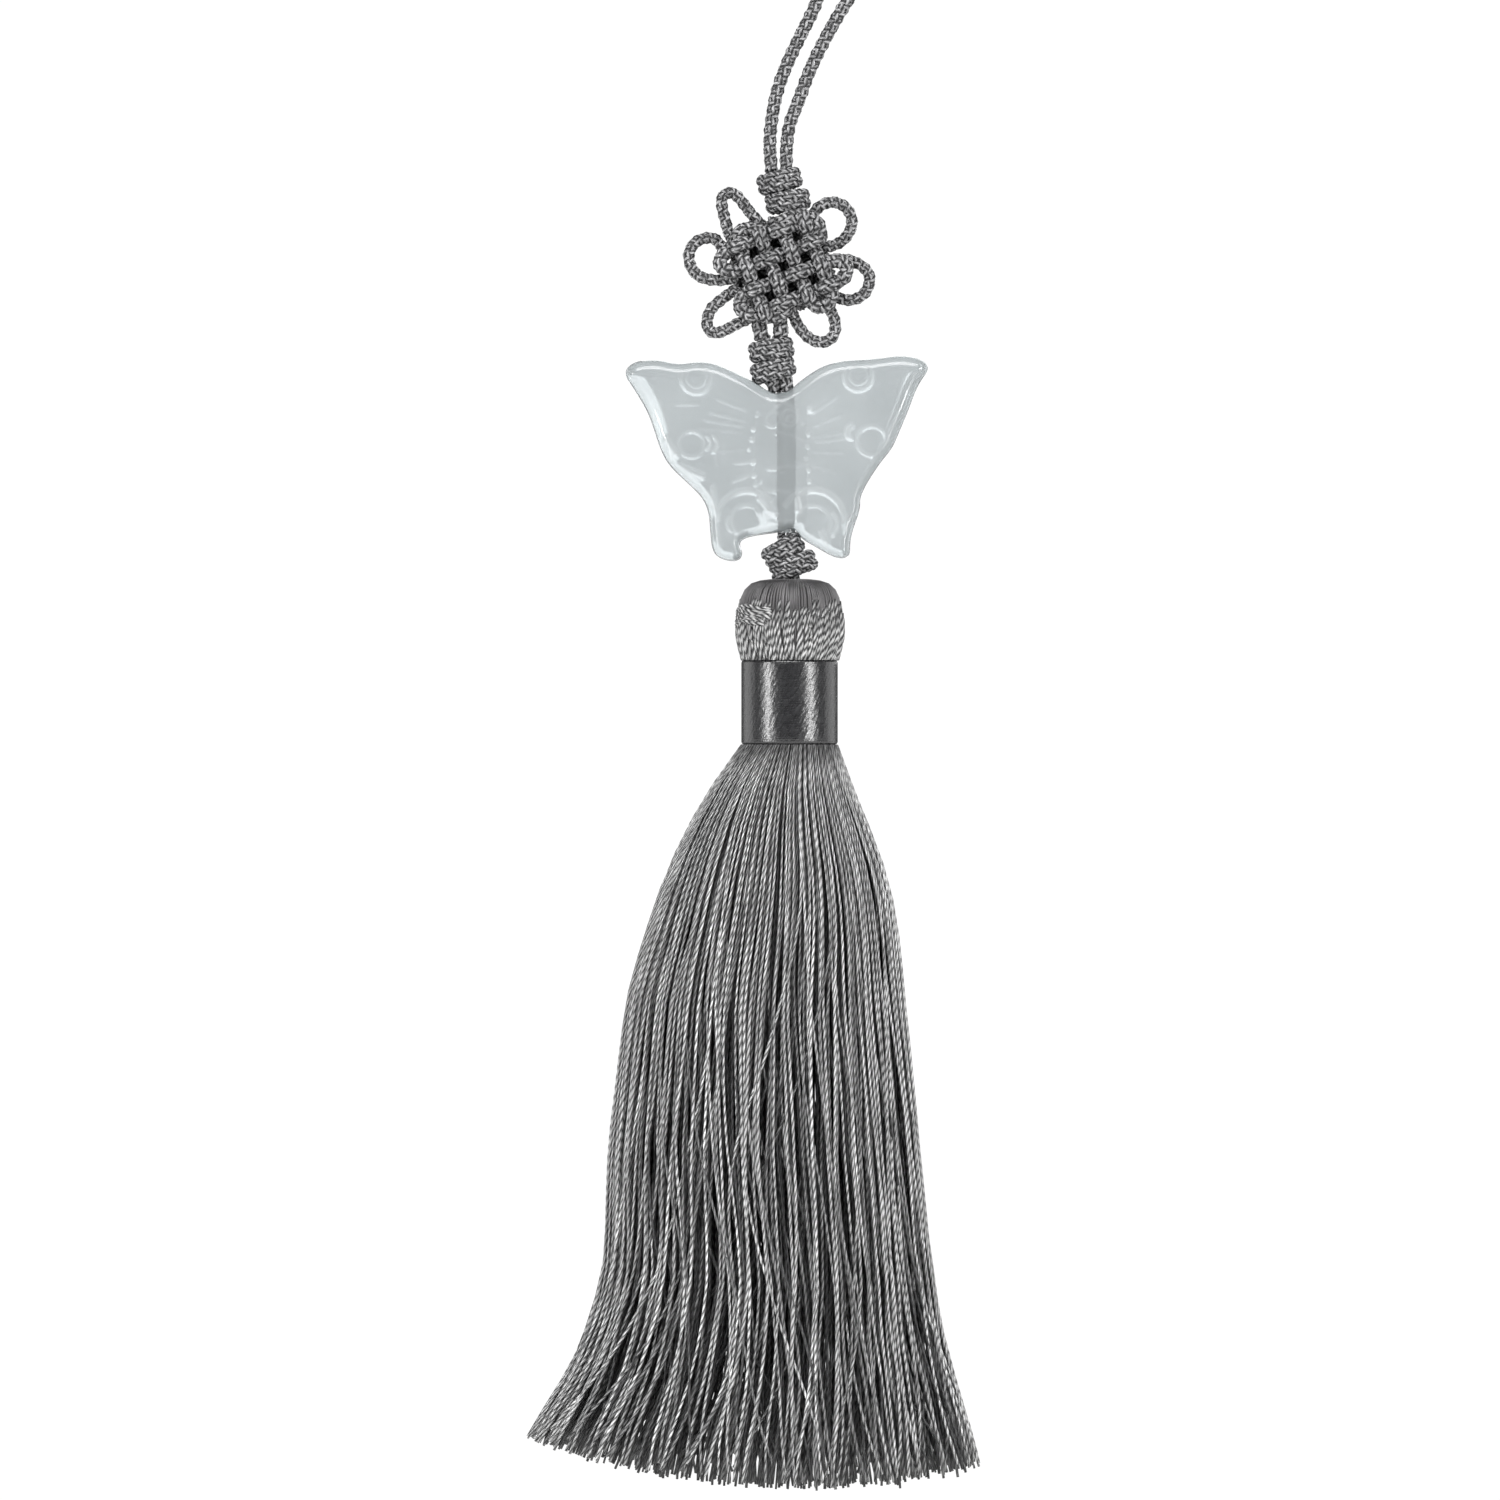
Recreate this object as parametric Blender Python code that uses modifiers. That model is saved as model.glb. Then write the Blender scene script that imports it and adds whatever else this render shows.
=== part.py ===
"""Norigae tassel: a doubled cord loop, knots, a butterfly bead and a long silk tassel, in metres."""

import math

import bmesh
import bpy
from mathutils import Vector

# Drawing frame: millimetres, x from the tassel's centre line, z down from the top of the hanging loop
MM = 0.001
CENTRE_LINE_X = -0.0112
CORD_DIAMETER = 0.0020
GAP = 0.0003

# Flower knot: four rows and four columns in two woven layers
KNOT_CENTRE = (-0.36, -67.4)
KNOT_TILT = math.radians(21.0)
KNOT_PITCH = 3.96
KNOT_LINES = 4
KNOT_LAYER_Y = 1.90
KNOT_WEAVE_Y = 1.00
KNOT_OVERHANG = 1.5
WOVEN_RADIUS = 1.2
EAR_OVERHANG = 0.9
EAR_STEPS = 6
# How far the middle and the ends of each loop lie behind the knot's middle plane
LOOP_MIDDLE_Y = 0.3
LOOP_END_Y = -0.8
# The back layer's lines lie behind the gaps of the front layer's
BACK_LINES = (-6.2, -3.4, 0.3, 4.2)

# Butterfly bead
BEAD_THICKNESS = 0.0055
BEAD_ROUND = 0.0011
BEAD_RING_THICKNESS = 0.0005
BODY_X = -0.1
BODY_FACETS = 16
BORE_RADIUS = 0.00185
BORE_FACETS = 14
BORE_CUTTER_LENGTH = 0.06
BORE_CUTTER_Z = -100.0
BEAD_CORD_RADIUS = 0.00150
# Space left between the cord in the bore and the knots above and below it
BEAD_CORD_SPACE = 0.4
BEAD_CORD_STEPS = 6

# Tassel
TURNED_FACETS = 24
BAND_X = 0.6
BAND_RADIUS = 0.0082
BAND_WALL = 0.0015
BAND_TOP = -134.3
BAND_BOTTOM = -148.7
BAND_CHAMFER = (0.3, 0.5)
HEAD_X = 0.7
HEAD_TOP = -120.3
COLLAR_RADIUS = 0.0084
COLLAR_HEIGHT = 0.0025
SKIRT_LENGTH = 126.0
LOCK_RINGS = 6
LOCKS_PER_RING = 6
LOCK_SECTIONS = 6
LOCK_WIDTH = 0.46
LOCK_SPREAD = 6.5
RING_TURN = 0.37
LOCK_TURN = 0.30
LOCK_TIP = 0.75
# Sections are closer together near the root: their share of the length is raised to this power
LOCK_SECTION_POWER = 0.85
LOCK_TRACE_STEPS = 120
# Length differences of the locks: amount, and steps round and outward
HEM_UNEVENNESS = (1.2, 7.3, 3.1)

# Hanging cord, chosen by hand: x and z in millimetres, up the left strand and down the right one
CORD_ROUTE = (
    (-2.45, -51.2), (-2.75, -46.4), (-2.30, -41.6), (-1.30, -37.0), (0.40, -32.5), (2.60, -27.9),
    (4.80, -23.4), (6.10, -19.0), (6.60, -14.6), (6.50, -10.4), (6.35, -6.4), (6.95, -2.7),
    (8.70, 0.1), (11.22, 1.0), (13.74, 0.1), (15.60, -2.7), (16.25, -6.8), (15.75, -11.2), (14.10, -15.8),
    (11.70, -20.2), (8.85, -24.8), (6.20, -29.6), (4.05, -34.1), (2.30, -38.8), (0.60, -43.4), (0.10, -47.4),
    (0.05, -51.2),
)
ROUTE_STEPS = 3

# Loops of the flower knot: x and z of the cord's centre line, in millimetres
FLOWER_LOOPS = {
    "upper_left": (
        (-8.4, -64.2), (-9.6, -62.0), (-10.3, -59.6), (-10.85, -57.3), (-10.85, -55.7), (-9.9, -54.9),
        (-8.7, -55.1), (-7.3, -56.6), (-5.95, -58.4), (-4.8, -59.6), (-3.9, -60.7), (-2.9, -62.4),
    ),
    "left": (
        (-8.6, -65.6), (-10.9, -64.0), (-12.1, -62.7), (-13.9, -62.6), (-15.6, -63.5), (-16.5, -65.3),
        (-16.2, -67.3), (-14.95, -68.9), (-13.0, -69.6), (-10.95, -69.7), (-9.6, -69.5), (-7.8, -69.3),
    ),
    "lower_left": (
        (-7.8, -70.8), (-9.6, -72.0), (-11.2, -73.2), (-12.7, -74.6), (-13.4, -76.4), (-13.2, -78.0),
        (-12.0, -78.7), (-10.3, -78.2), (-8.45, -77.2), (-6.9, -76.5), (-5.4, -75.8),
    ),
    "lower_right": (
        (0.6, -74.4), (1.35, -75.9), (2.0, -77.3), (3.2, -78.9), (4.75, -80.0), (6.6, -80.2),
        (7.95, -79.3), (8.4, -77.7), (8.15, -76.1), (7.5, -74.8), (6.4, -73.6),
    ),
    "right": (
        (6.6, -67.4), (8.15, -66.6), (9.55, -66.2), (11.1, -66.4), (12.9, -67.3), (14.1, -68.7),
        (14.1, -70.5), (13.2, -72.1), (11.6, -73.0), (9.75, -73.0), (8.15, -72.3), (6.8, -71.4),
    ),
    "upper_right": (
        (3.4, -61.2), (4.05, -59.6), (5.2, -57.7), (6.6, -56.7), (8.4, -56.5), (10.1, -57.3),
        (11.1, -58.9), (11.1, -60.7), (10.1, -62.5), (8.6, -63.6), (6.0, -64.4),
    ),
}
# Turn-backs at the lattice's edges: each spans two neighbouring lines of one side, and bulges out by its reach
EARS = (
    # side, first line, reach
    ("top", 0, 1.3),
    ("top", 2, 0.5),
    ("bottom", 0, 0.6),
    ("bottom", 2, 2.0),
    ("left", 0, 3.2),
    ("left", 2, 2.6),
    ("right", 0, 1.1),
    ("right", 2, 3.0),
)

# Legs of the doubled cord beside the flower knot
FLOWER_LEGS = (
    # points in x and z, distance behind the knot's middle plane
    (((0.9, -59.2), (1.9, -60.2), (3.5, -62.4)), -0.8),
    (((-1.9, -59.2), (-1.9, -60.4), (-1.5, -62.4)), -0.8),
    (((-4.2, -74.0), (-4.3, -76.4), (-3.9, -78.9)), 0.6),
    (((-2.0, -74.4), (-1.0, -76.4), (-0.9, -78.9)), 0.6),
)

# Wraps of the small knots: rings round the doubled cord
KNOTS = {
    # name: (rows of centre x, centre z, half width, half depth, slant in degrees, cord radius)
    "upper_knot": ((-1.0, -53.1, 2.8, 2.0, 12.0, 1.40), (0.1, -56.0, 2.8, 2.0, 10.0, 1.40)),
    "lower_knot": ((-2.4, -81.9, 2.8, 2.0, 14.0, 1.45), (-2.2, -85.0, 2.8, 2.0, 14.0, 1.45)),
    "end_knot": ((-1.1, -115.9, 2.2, 2.0, 34.0, 1.25), (1.3, -117.5, 3.0, 2.0, 18.0, 1.25)),
}
KNOT_CORES = {
    # name: (x and z of the top end, x and z of the bottom end, radius)
    "upper_knot": ((-1.1, -51.5), (-0.6, -57.8), 1.9),
    "lower_knot": ((-2.4, -79.4), (-0.9, -88.0), 1.9),
    "end_knot": ((0.3, -113.6), (0.4, -119.9), 1.7),
}

# Butterfly outline, clockwise from the notch between the upper wings: x and z in millimetres
WING_OUTLINE = (
    (-2.0, -89.2), (0.85, -88.4), (2.2, -87.0), (5.8, -84.5), (9.4, -83.3), (14.8, -83.1), (19.4, -82.4),
    (23.0, -83.0), (24.6, -84.5), (22.3, -87.7), (20.9, -91.6), (19.0, -96.1), (18.0, -98.4), (15.8, -101.0),
    (12.6, -106.1), (12.6, -108.8), (11.6, -111.4), (10.9, -113.9), (10.9, -116.5), (9.9, -117.1), (8.0, -116.8),
    (5.1, -115.1), (2.6, -113.7), (1.5, -111.9), (-1.4, -112.7), (-4.9, -113.1), (-7.0, -113.6), (-8.0, -114.4),
    (-7.3, -116.1), (-7.8, -117.3), (-9.2, -117.6), (-11.4, -117.0), (-12.6, -115.6), (-12.9, -112.0),
    (-13.1, -109.3), (-14.1, -106.8), (-16.3, -104.6), (-19.9, -101.3), (-21.4, -98.4), (-22.4, -95.2),
    (-23.5, -92.1), (-25.7, -88.4), (-27.7, -85.5), (-26.0, -83.6), (-22.1, -83.1), (-18.5, -84.0),
    (-15.0, -83.5), (-12.1, -83.8), (-7.8, -85.7), (-4.3, -87.7),
)
BEAD_RINGS = (
    # x, z, ring radius
    (-15.5, -86.1, 2.0),
    (11.9, -86.3, 2.2),
    (-16.3, -97.4, 2.1),
    (14.1, -96.7, 2.1),
    (-7.0, -110.7, 2.3),
    (4.1, -110.7, 2.3),
)
BODY_SHAPE = ((-89.5, 1.6), (-93.5, 3.0), (-97.0, 3.5), (-103.0, 3.4), (-108.0, 2.7), (-111.5, 1.8))

# Head of the tassel: radius and depth below its top, in millimetres
HEAD_PROFILE = ((4.2, 0.0), (6.6, 0.5), (8.0, 1.7), (8.7, 3.7), (9.1, 6.4), (9.2, 8.6), (8.9, 11.2), (8.3, 13.7))

# Skirt of the tassel: depth below the band, offset of the middle, half width and half depth, in millimetres
SKIRT_SHAPE = (
    (0.0, 0.6, 8.2, 8.2),
    (6.6, -0.5, 11.4, 10.6),
    (15.1, -1.3, 15.6, 12.6),
    (29.4, -2.0, 20.4, 15.0),
    (42.8, -3.4, 23.2, 16.6),
    (68.7, -3.8, 26.4, 18.8),
    (90.3, -3.1, 27.8, 20.4),
    (105.1, -4.2, 31.8, 22.4),
    (118.5, -6.1, 38.0, 25.0),
    (127.0, -6.4, 40.0, 26.0),
)


def world(x, z, y=0.0):
    return Vector((x * MM + CENTRE_LINE_X, y * MM, z * MM))


def clear_scene():
    for found in list(bpy.data.objects):
        bpy.data.objects.remove(found, do_unlink=True)


def new_collection(name):
    made = bpy.data.collections.new(name)
    bpy.context.scene.collection.children.link(made)
    return made


def material(name, colour, roughness):
    made = bpy.data.materials.new(name)
    made.use_nodes = True
    shader = made.node_tree.nodes["Principled BSDF"]
    shader.inputs["Base Color"].default_value = (*colour, 1.0)
    shader.inputs["Roughness"].default_value = roughness
    return made


def smooth_route(points, steps):
    """Points along a Catmull-Rom curve through the given ones."""
    ends = [points[0] + (points[0] - points[1])] + list(points) + [points[-1] + (points[-1] - points[-2])]
    found = []
    for i in range(1, len(ends) - 2):
        a, b, c, d = ends[i - 1], ends[i], ends[i + 1], ends[i + 2]
        for step in range(steps):
            t = step / steps
            found.append(
                0.5 * (2 * b + (c - a) * t + (2 * a - 5 * b + 4 * c - d) * t * t + (3 * b - a - 3 * c + d) * t**3)
            )
    found.append(ends[-2])
    return found


def tube_curve(name, points, radius, collection, bevel_resolution=2, closed=False):
    data = bpy.data.curves.new(name, "CURVE")
    data.dimensions = "3D"
    data.bevel_depth = radius
    data.bevel_resolution = bevel_resolution
    data.use_fill_caps = not closed
    spline = data.splines.new("POLY")
    spline.points.add(len(points) - 1)
    for made, place in zip(spline.points, points):
        made.co = (*place, 1.0)
    spline.use_cyclic_u = closed
    spline.use_smooth = True
    tube = bpy.data.objects.new(name, data)
    collection.objects.link(tube)
    return tube


def as_mesh(curve, collection):
    """The curve's tube as a mesh object whose caps are welded."""
    bpy.context.view_layer.update()
    evaluated = curve.evaluated_get(bpy.context.evaluated_depsgraph_get())
    data = bpy.data.meshes.new_from_object(evaluated)
    name, place = curve.name, curve.matrix_world.copy()
    bpy.data.objects.remove(curve, do_unlink=True)
    shape = bmesh.new()
    shape.from_mesh(data)
    bmesh.ops.remove_doubles(shape, verts=shape.verts, dist=1e-6)
    shape.to_mesh(data)
    shape.free()
    made = bpy.data.objects.new(name, data)
    made.matrix_world = place
    collection.objects.link(made)
    return made


def tube_mesh(name, points, radius, collection, bevel_resolution=1, closed=False):
    return as_mesh(tube_curve(name, points, radius, collection, bevel_resolution, closed), collection)


def joined(base, others, operation="UNION", solver="EXACT"):
    """The base with each of the others joined to it, or cut from it."""
    for other in others:
        other.hide_render = True
        other.display_type = "WIRE"
        step = base.modifiers.new(other.name, "BOOLEAN")
        step.operation = operation
        step.object = other
        step.solver = solver


def finish(found, name, slot, sharp=math.radians(50)):
    found.name = name
    found.data.materials.clear()
    found.data.materials.append(slot)
    found.data.shade_smooth()
    found.data.set_sharp_from_angle(angle=sharp)


def hanging_cord(parts, slot):
    points = smooth_route([world(x, z) for x, z in CORD_ROUTE], ROUTE_STEPS)
    cord = tube_curve("hanging_cord", points, CORD_DIAMETER / 2, parts)
    cord.data.materials.append(slot)


def ring_points(x, z, half_width, half_depth, slant, steps=14):
    """A ring round the cords, its plane slanted about the viewing direction."""
    turn = math.radians(slant)
    found = []
    for i in range(steps):
        angle = 2 * math.pi * i / steps
        across = half_width * math.cos(angle)
        found.append(world(x + across * math.cos(turn), z + across * math.sin(turn), half_depth * math.sin(angle)))
    return found


def small_knot(name, parts, guides, slot):
    """Two slanted wraps round a short length of the doubled cord."""
    top, bottom, radius = KNOT_CORES[name]
    middle = ((top[0] + bottom[0]) / 2, (top[1] + bottom[1]) / 2)
    core = tube_mesh(name + "_core", [world(*p) for p in (top, middle, bottom)], radius * MM, parts, 2)
    wraps = []
    for i, (x, z, half_width, half_depth, slant, thickness) in enumerate(KNOTS[name]):
        points = ring_points(x, z, half_width, half_depth, slant)
        wraps.append(tube_mesh(f"{name}_wrap_{i}", points, thickness * MM, guides, 1, closed=True))
    joined(core, wraps)
    finish(core, name, slot)


def lattice(u, v, y):
    """A point of the flower knot: u along its rows and v up its columns, in millimetres."""
    x = KNOT_CENTRE[0] + u * math.cos(KNOT_TILT) - v * math.sin(KNOT_TILT)
    z = KNOT_CENTRE[1] + u * math.sin(KNOT_TILT) + v * math.cos(KNOT_TILT)
    return world(x, z, y)


def line_offset(i, layer=-1):
    return KNOT_PITCH * (i - (KNOT_LINES - 1) / 2) if layer < 0 else BACK_LINES[i]


def woven_run(line, is_row, layer):
    """One cord of a layer, over and under the cords that it crosses; layer is -1 in front and 1 behind."""
    reach = line_offset(KNOT_LINES - 1) + KNOT_OVERHANG
    places = [-reach] + [line_offset(i, layer) for i in range(KNOT_LINES)] + [reach]
    found = []
    for i, along in enumerate(places):
        crossing = min(max(i - 1, 0), KNOT_LINES - 1)
        over = (line + crossing) % 2 == (0 if is_row else 1)
        lift = layer * (KNOT_LAYER_Y + (KNOT_WEAVE_Y if over else -KNOT_WEAVE_Y))
        if i in (0, len(places) - 1):
            lift = layer * KNOT_LAYER_Y
        across = line_offset(line, layer)
        found.append(lattice(along, -across, lift) if is_row else lattice(across, -along, lift))
    return found


def ear_points(side, first, reach):
    """A short turn at the front of the lattice, from one line to its neighbour."""
    edge = line_offset(KNOT_LINES - 1) + EAR_OVERHANG
    middle = line_offset(first) + KNOT_PITCH / 2
    found = []
    for step in range(EAR_STEPS + 1):
        angle = math.pi * step / EAR_STEPS
        along = middle - KNOT_PITCH / 2 * math.cos(angle)
        out = edge + reach * math.sin(angle)
        u, v = {
            "top": (along, out),
            "bottom": (along, -out),
            "left": (-out, -along),
            "right": (out, -along),
        }[side]
        found.append(lattice(u, v, -KNOT_LAYER_Y))
    return found


def flower_knot(parts, guides, slot):
    """Four rows and four columns woven in two layers, with six loops, eight ears and the legs of the cord."""
    radius = CORD_DIAMETER / 2
    pieces = []
    for layer in (-1, 1):
        for is_row in (True, False):
            for line in range(KNOT_LINES):
                name = f"run_{layer}_{int(is_row)}_{line}"
                pieces.append(tube_mesh(name, woven_run(line, is_row, layer), WOVEN_RADIUS * MM, guides))
    for name, route in FLOWER_LOOPS.items():
        depths = [LOOP_END_Y] + [LOOP_MIDDLE_Y] * (len(route) - 2) + [LOOP_END_Y]
        points = [world(x, z, y) for (x, z), y in zip(route, depths)]
        pieces.append(tube_mesh("loop_" + name, points, radius, guides))
    for side, first, reach in EARS:
        pieces.append(tube_mesh(f"ear_{side}_{first}", ear_points(side, first, reach), WOVEN_RADIUS * MM, guides))
    for i, (leg, y) in enumerate(FLOWER_LEGS):
        pieces.append(tube_mesh(f"leg_{i}", [world(x, z, y) for x, z in leg], radius, guides))
    base = pieces[0]
    move_to(base, parts)
    joined(base, pieces[1:], solver="MANIFOLD")
    finish(base, "flower_knot", slot)


def bead_blank(guides):
    data = bpy.data.curves.new("wing_outline", "CURVE")
    data.dimensions = "2D"
    data.fill_mode = "BOTH"
    data.extrude = BEAD_THICKNESS / 2 - BEAD_ROUND
    data.bevel_depth = BEAD_ROUND
    data.bevel_resolution = 1
    data.offset = -BEAD_ROUND
    spline = data.splines.new("POLY")
    spline.points.add(len(WING_OUTLINE) - 1)
    for made, (x, z) in zip(spline.points, WING_OUTLINE):
        made.co = (x * MM + CENTRE_LINE_X, z * MM, 0.0, 1.0)
    spline.use_cyclic_u = True
    blank = bpy.data.objects.new("butterfly_bead", data)
    blank.rotation_euler = (math.pi / 2, 0.0, 0.0)
    guides.objects.link(blank)
    return blank


def bead_body(guides):
    """The insect's body, a turned spindle that stands a little proud of the wings."""
    top = BODY_SHAPE[0][0]
    profile = [(0.0, 0.0)] + [(radius, z - top) for z, radius in BODY_SHAPE] + [(0.0, BODY_SHAPE[-1][0] - top)]
    body = turned("bead_body", profile, guides, BODY_FACETS)
    body.location = world(BODY_X, top)
    return body


def turned(name, profile, collection, steps):
    """A profile of radius and height in millimetres, turned about its axis."""
    data = bpy.data.meshes.new(name)
    points = [(r * MM, 0.0, z * MM) for r, z in profile]
    edges = [(i, i + 1) for i in range(len(profile) - 1)]
    data.from_pydata(points, edges, [])
    made = bpy.data.objects.new(name, data)
    collection.objects.link(made)
    screw = made.modifiers.new("turn", "SCREW")
    screw.steps = steps
    screw.render_steps = steps
    screw.use_merge_vertices = True
    screw.merge_threshold = 0.00001
    return made


def butterfly_bead(parts, guides, slot):
    bead = as_mesh(bead_blank(guides), parts)
    rings = []
    for i, (x, z, radius) in enumerate(BEAD_RINGS):
        bpy.ops.mesh.primitive_torus_add(
            major_radius=radius * MM,
            minor_radius=BEAD_RING_THICKNESS,
            major_segments=12,
            minor_segments=4,
            location=world(x, z, -BEAD_THICKNESS / 2 / MM),
            rotation=(math.pi / 2, 0.0, 0.0),
        )
        ring = bpy.context.active_object
        ring.name = f"bead_ring_{i}"
        move_to(ring, guides)
        rings.append(ring)
    joined(bead, [bead_body(guides)] + rings)
    bpy.ops.mesh.primitive_cylinder_add(
        vertices=BORE_FACETS, radius=BORE_RADIUS, depth=BORE_CUTTER_LENGTH, location=world(0.0, BORE_CUTTER_Z)
    )
    bore = bpy.context.active_object
    bore.name = "bore_cutter"
    move_to(bore, guides)
    joined(bead, [bore], "DIFFERENCE")
    finish(bead, "butterfly_bead", slot, math.radians(35))


def move_to(found, collection):
    for old in list(found.users_collection):
        old.objects.unlink(found)
    collection.objects.link(found)


def bead_cord(parts, slot):
    top = KNOT_CORES["lower_knot"][1][1] - BEAD_CORD_SPACE
    bottom = KNOT_CORES["end_knot"][0][1] + BEAD_CORD_SPACE
    steps = BEAD_CORD_STEPS
    points = [world(0.0, top + (bottom - top) * i / steps) for i in range(steps + 1)]
    cord = tube_curve("bead_cord", points, BEAD_CORD_RADIUS, parts)
    cord.data.materials.append(slot)


def tassel_head(parts, slot):
    profile = [(0.0, 0.0)] + [(r, -z) for r, z in HEAD_PROFILE] + [(0.0, -HEAD_PROFILE[-1][1])]
    head = turned("tassel_head", profile, parts, TURNED_FACETS)
    head.location = world(HEAD_X, HEAD_TOP)
    finish(head, "tassel_head", slot)


def tassel_band(parts, slot):
    outer, inner = BAND_RADIUS / MM, (BAND_RADIUS - BAND_WALL) / MM
    height = BAND_TOP - BAND_BOTTOM
    inset, drop = BAND_CHAMFER
    profile = (
        (inner, 0.0), (outer - inset, 0.0), (outer, -drop), (outer, -height + drop), (outer - inset, -height),
        (inner, -height), (inner, 0.0),
    )
    band = turned("tassel_band", profile, parts, TURNED_FACETS)
    band.location = world(BAND_X, BAND_TOP)
    finish(band, "tassel_band", slot)


def skirt_section(depth):
    """Offset, half width and half depth of the skirt at a depth below the band."""
    rows = SKIRT_SHAPE
    for low, high in zip(rows, rows[1:]):
        if depth <= high[0]:
            share = (depth - low[0]) / (high[0] - low[0])
            return [low[i] + (high[i] - low[i]) * share for i in (1, 2, 3)]
    return list(rows[-1][1:])


def lock_centres(u, v, length):
    """Centres down one lock, cut where its own length is used up: x, y, depth and the section's sizes."""
    found = []
    run = 0.0
    last = None
    for i in range(LOCK_TRACE_STEPS * 2):
        depth = SKIRT_LENGTH * i / LOCK_TRACE_STEPS
        offset, wide, deep = skirt_section(depth)
        place = Vector((offset + u * wide, v * deep, depth))
        if last is not None:
            run += (place - last).length
        found.append((run, place, wide, deep))
        last = place
        if run >= length:
            break
    picked = []
    for step in range(LOCK_SECTIONS):
        share = (step / (LOCK_SECTIONS - 1)) ** LOCK_SECTION_POWER
        target = run * share
        picked.append(min(found, key=lambda row: abs(row[0] - target)))
    return [row[1:] for row in picked]


def add_lock(shape, u, v, length):
    """A three-sided lock from inside the collar to the hem, as wide as the space between its neighbours allows."""
    rings = []
    for step, (place, wide, deep) in enumerate(lock_centres(u, v, length)):
        taper = LOCK_TIP if step == LOCK_SECTIONS - 1 else 1.0
        ring = []
        for corner in range(3):
            angle = LOCK_TURN + 2 * math.pi * corner / 3
            x = place.x + taper * LOCK_WIDTH * wide / LOCK_SPREAD * math.cos(angle)
            y = place.y + taper * LOCK_WIDTH * deep / LOCK_SPREAD * math.sin(angle)
            rise = COLLAR_HEIGHT / MM * 0.5 if step == 0 else 0.0
            ring.append(shape.verts.new(world(x, BAND_BOTTOM - COLLAR_HEIGHT / MM - place.z + rise, y)))
        rings.append(ring)
    shape.faces.new(rings[0][::-1])
    for above, below in zip(rings, rings[1:]):
        for i in range(3):
            j = (i + 1) % 3
            shape.faces.new((above[i], above[j], below[j], below[i]))
    shape.faces.new(rings[-1])


def tassel_skirt(parts, guides, slot):
    shape = bmesh.new()
    amount, round_step, ring_step = HEM_UNEVENNESS
    length = SKIRT_LENGTH - COLLAR_HEIGHT / MM
    add_lock(shape, 0.0, 0.0, length)
    for ring in range(1, LOCK_RINGS + 1):
        count = LOCKS_PER_RING * ring
        for i in range(count):
            angle = 2 * math.pi * i / count + RING_TURN * ring
            reach = ring / LOCK_SPREAD
            uneven = amount * math.sin(round_step * i + ring_step * ring)
            add_lock(shape, reach * math.cos(angle), reach * math.sin(angle), length + uneven)
    bmesh.ops.recalc_face_normals(shape, faces=shape.faces)
    data = bpy.data.meshes.new("locks")
    shape.to_mesh(data)
    shape.free()
    locks = bpy.data.objects.new("locks", data)
    guides.objects.link(locks)
    core = (BAND_RADIUS - BAND_WALL - GAP) / MM
    collar = COLLAR_RADIUS / MM
    height = BAND_TOP - BAND_BOTTOM
    below = GAP / MM
    profile = (
        (0.0, 0.0), (core, 0.0), (core, -height - below), (collar, -height - below),
        (collar, -height - COLLAR_HEIGHT / MM), (0.0, -height - COLLAR_HEIGHT / MM),
    )
    skirt = turned("tassel_skirt", profile, parts, TURNED_FACETS)
    skirt.location = world(BAND_X, BAND_TOP)
    joined(skirt, [locks])
    finish(skirt, "tassel_skirt", slot)


def main():
    clear_scene()
    parts = new_collection("norigae_tassel")
    guides = new_collection("guides")
    cord_silk = material("cord_silk", (0.22, 0.22, 0.23), 0.55)
    bead_glass = material("bead_glass", (0.55, 0.62, 0.64), 0.08)
    head_silk = material("head_silk", (0.20, 0.20, 0.21), 0.55)
    band_silk = material("band_silk", (0.10, 0.10, 0.11), 0.35)
    skirt_silk = material("skirt_silk", (0.33, 0.33, 0.34), 0.45)
    hanging_cord(parts, cord_silk)
    small_knot("upper_knot", parts, guides, cord_silk)
    flower_knot(parts, guides, cord_silk)
    small_knot("lower_knot", parts, guides, cord_silk)
    bead_cord(parts, cord_silk)
    butterfly_bead(parts, guides, bead_glass)
    small_knot("end_knot", parts, guides, cord_silk)
    tassel_head(parts, head_silk)
    tassel_band(parts, band_silk)
    tassel_skirt(parts, guides, skirt_silk)


main()
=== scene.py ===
import math
import bpy
import numpy as np
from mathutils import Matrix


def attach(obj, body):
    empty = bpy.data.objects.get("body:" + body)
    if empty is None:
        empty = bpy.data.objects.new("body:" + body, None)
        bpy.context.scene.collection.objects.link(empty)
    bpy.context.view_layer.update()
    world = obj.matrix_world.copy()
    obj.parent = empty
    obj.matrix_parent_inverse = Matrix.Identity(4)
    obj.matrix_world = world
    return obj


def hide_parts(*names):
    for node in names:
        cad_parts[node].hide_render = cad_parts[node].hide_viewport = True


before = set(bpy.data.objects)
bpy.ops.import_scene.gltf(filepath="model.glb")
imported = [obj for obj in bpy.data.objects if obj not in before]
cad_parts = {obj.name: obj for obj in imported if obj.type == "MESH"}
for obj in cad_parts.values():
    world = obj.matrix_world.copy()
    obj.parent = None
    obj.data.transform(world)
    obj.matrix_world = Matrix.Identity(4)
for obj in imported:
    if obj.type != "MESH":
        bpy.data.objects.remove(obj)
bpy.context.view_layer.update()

# Drawing frame: millimetres from the tassel's centre line (x) and from the top of the hanging loop (z)
mm = 0.001
centreLineX = -0.0112
rng = np.random.default_rng(20)


def place(x, z, y=0.0):
    x, y, z = (np.asarray(value) * mm for value in (x, y, z))
    return np.stack(np.broadcast_arrays(x + centreLineX, y, z), -1)


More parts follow.
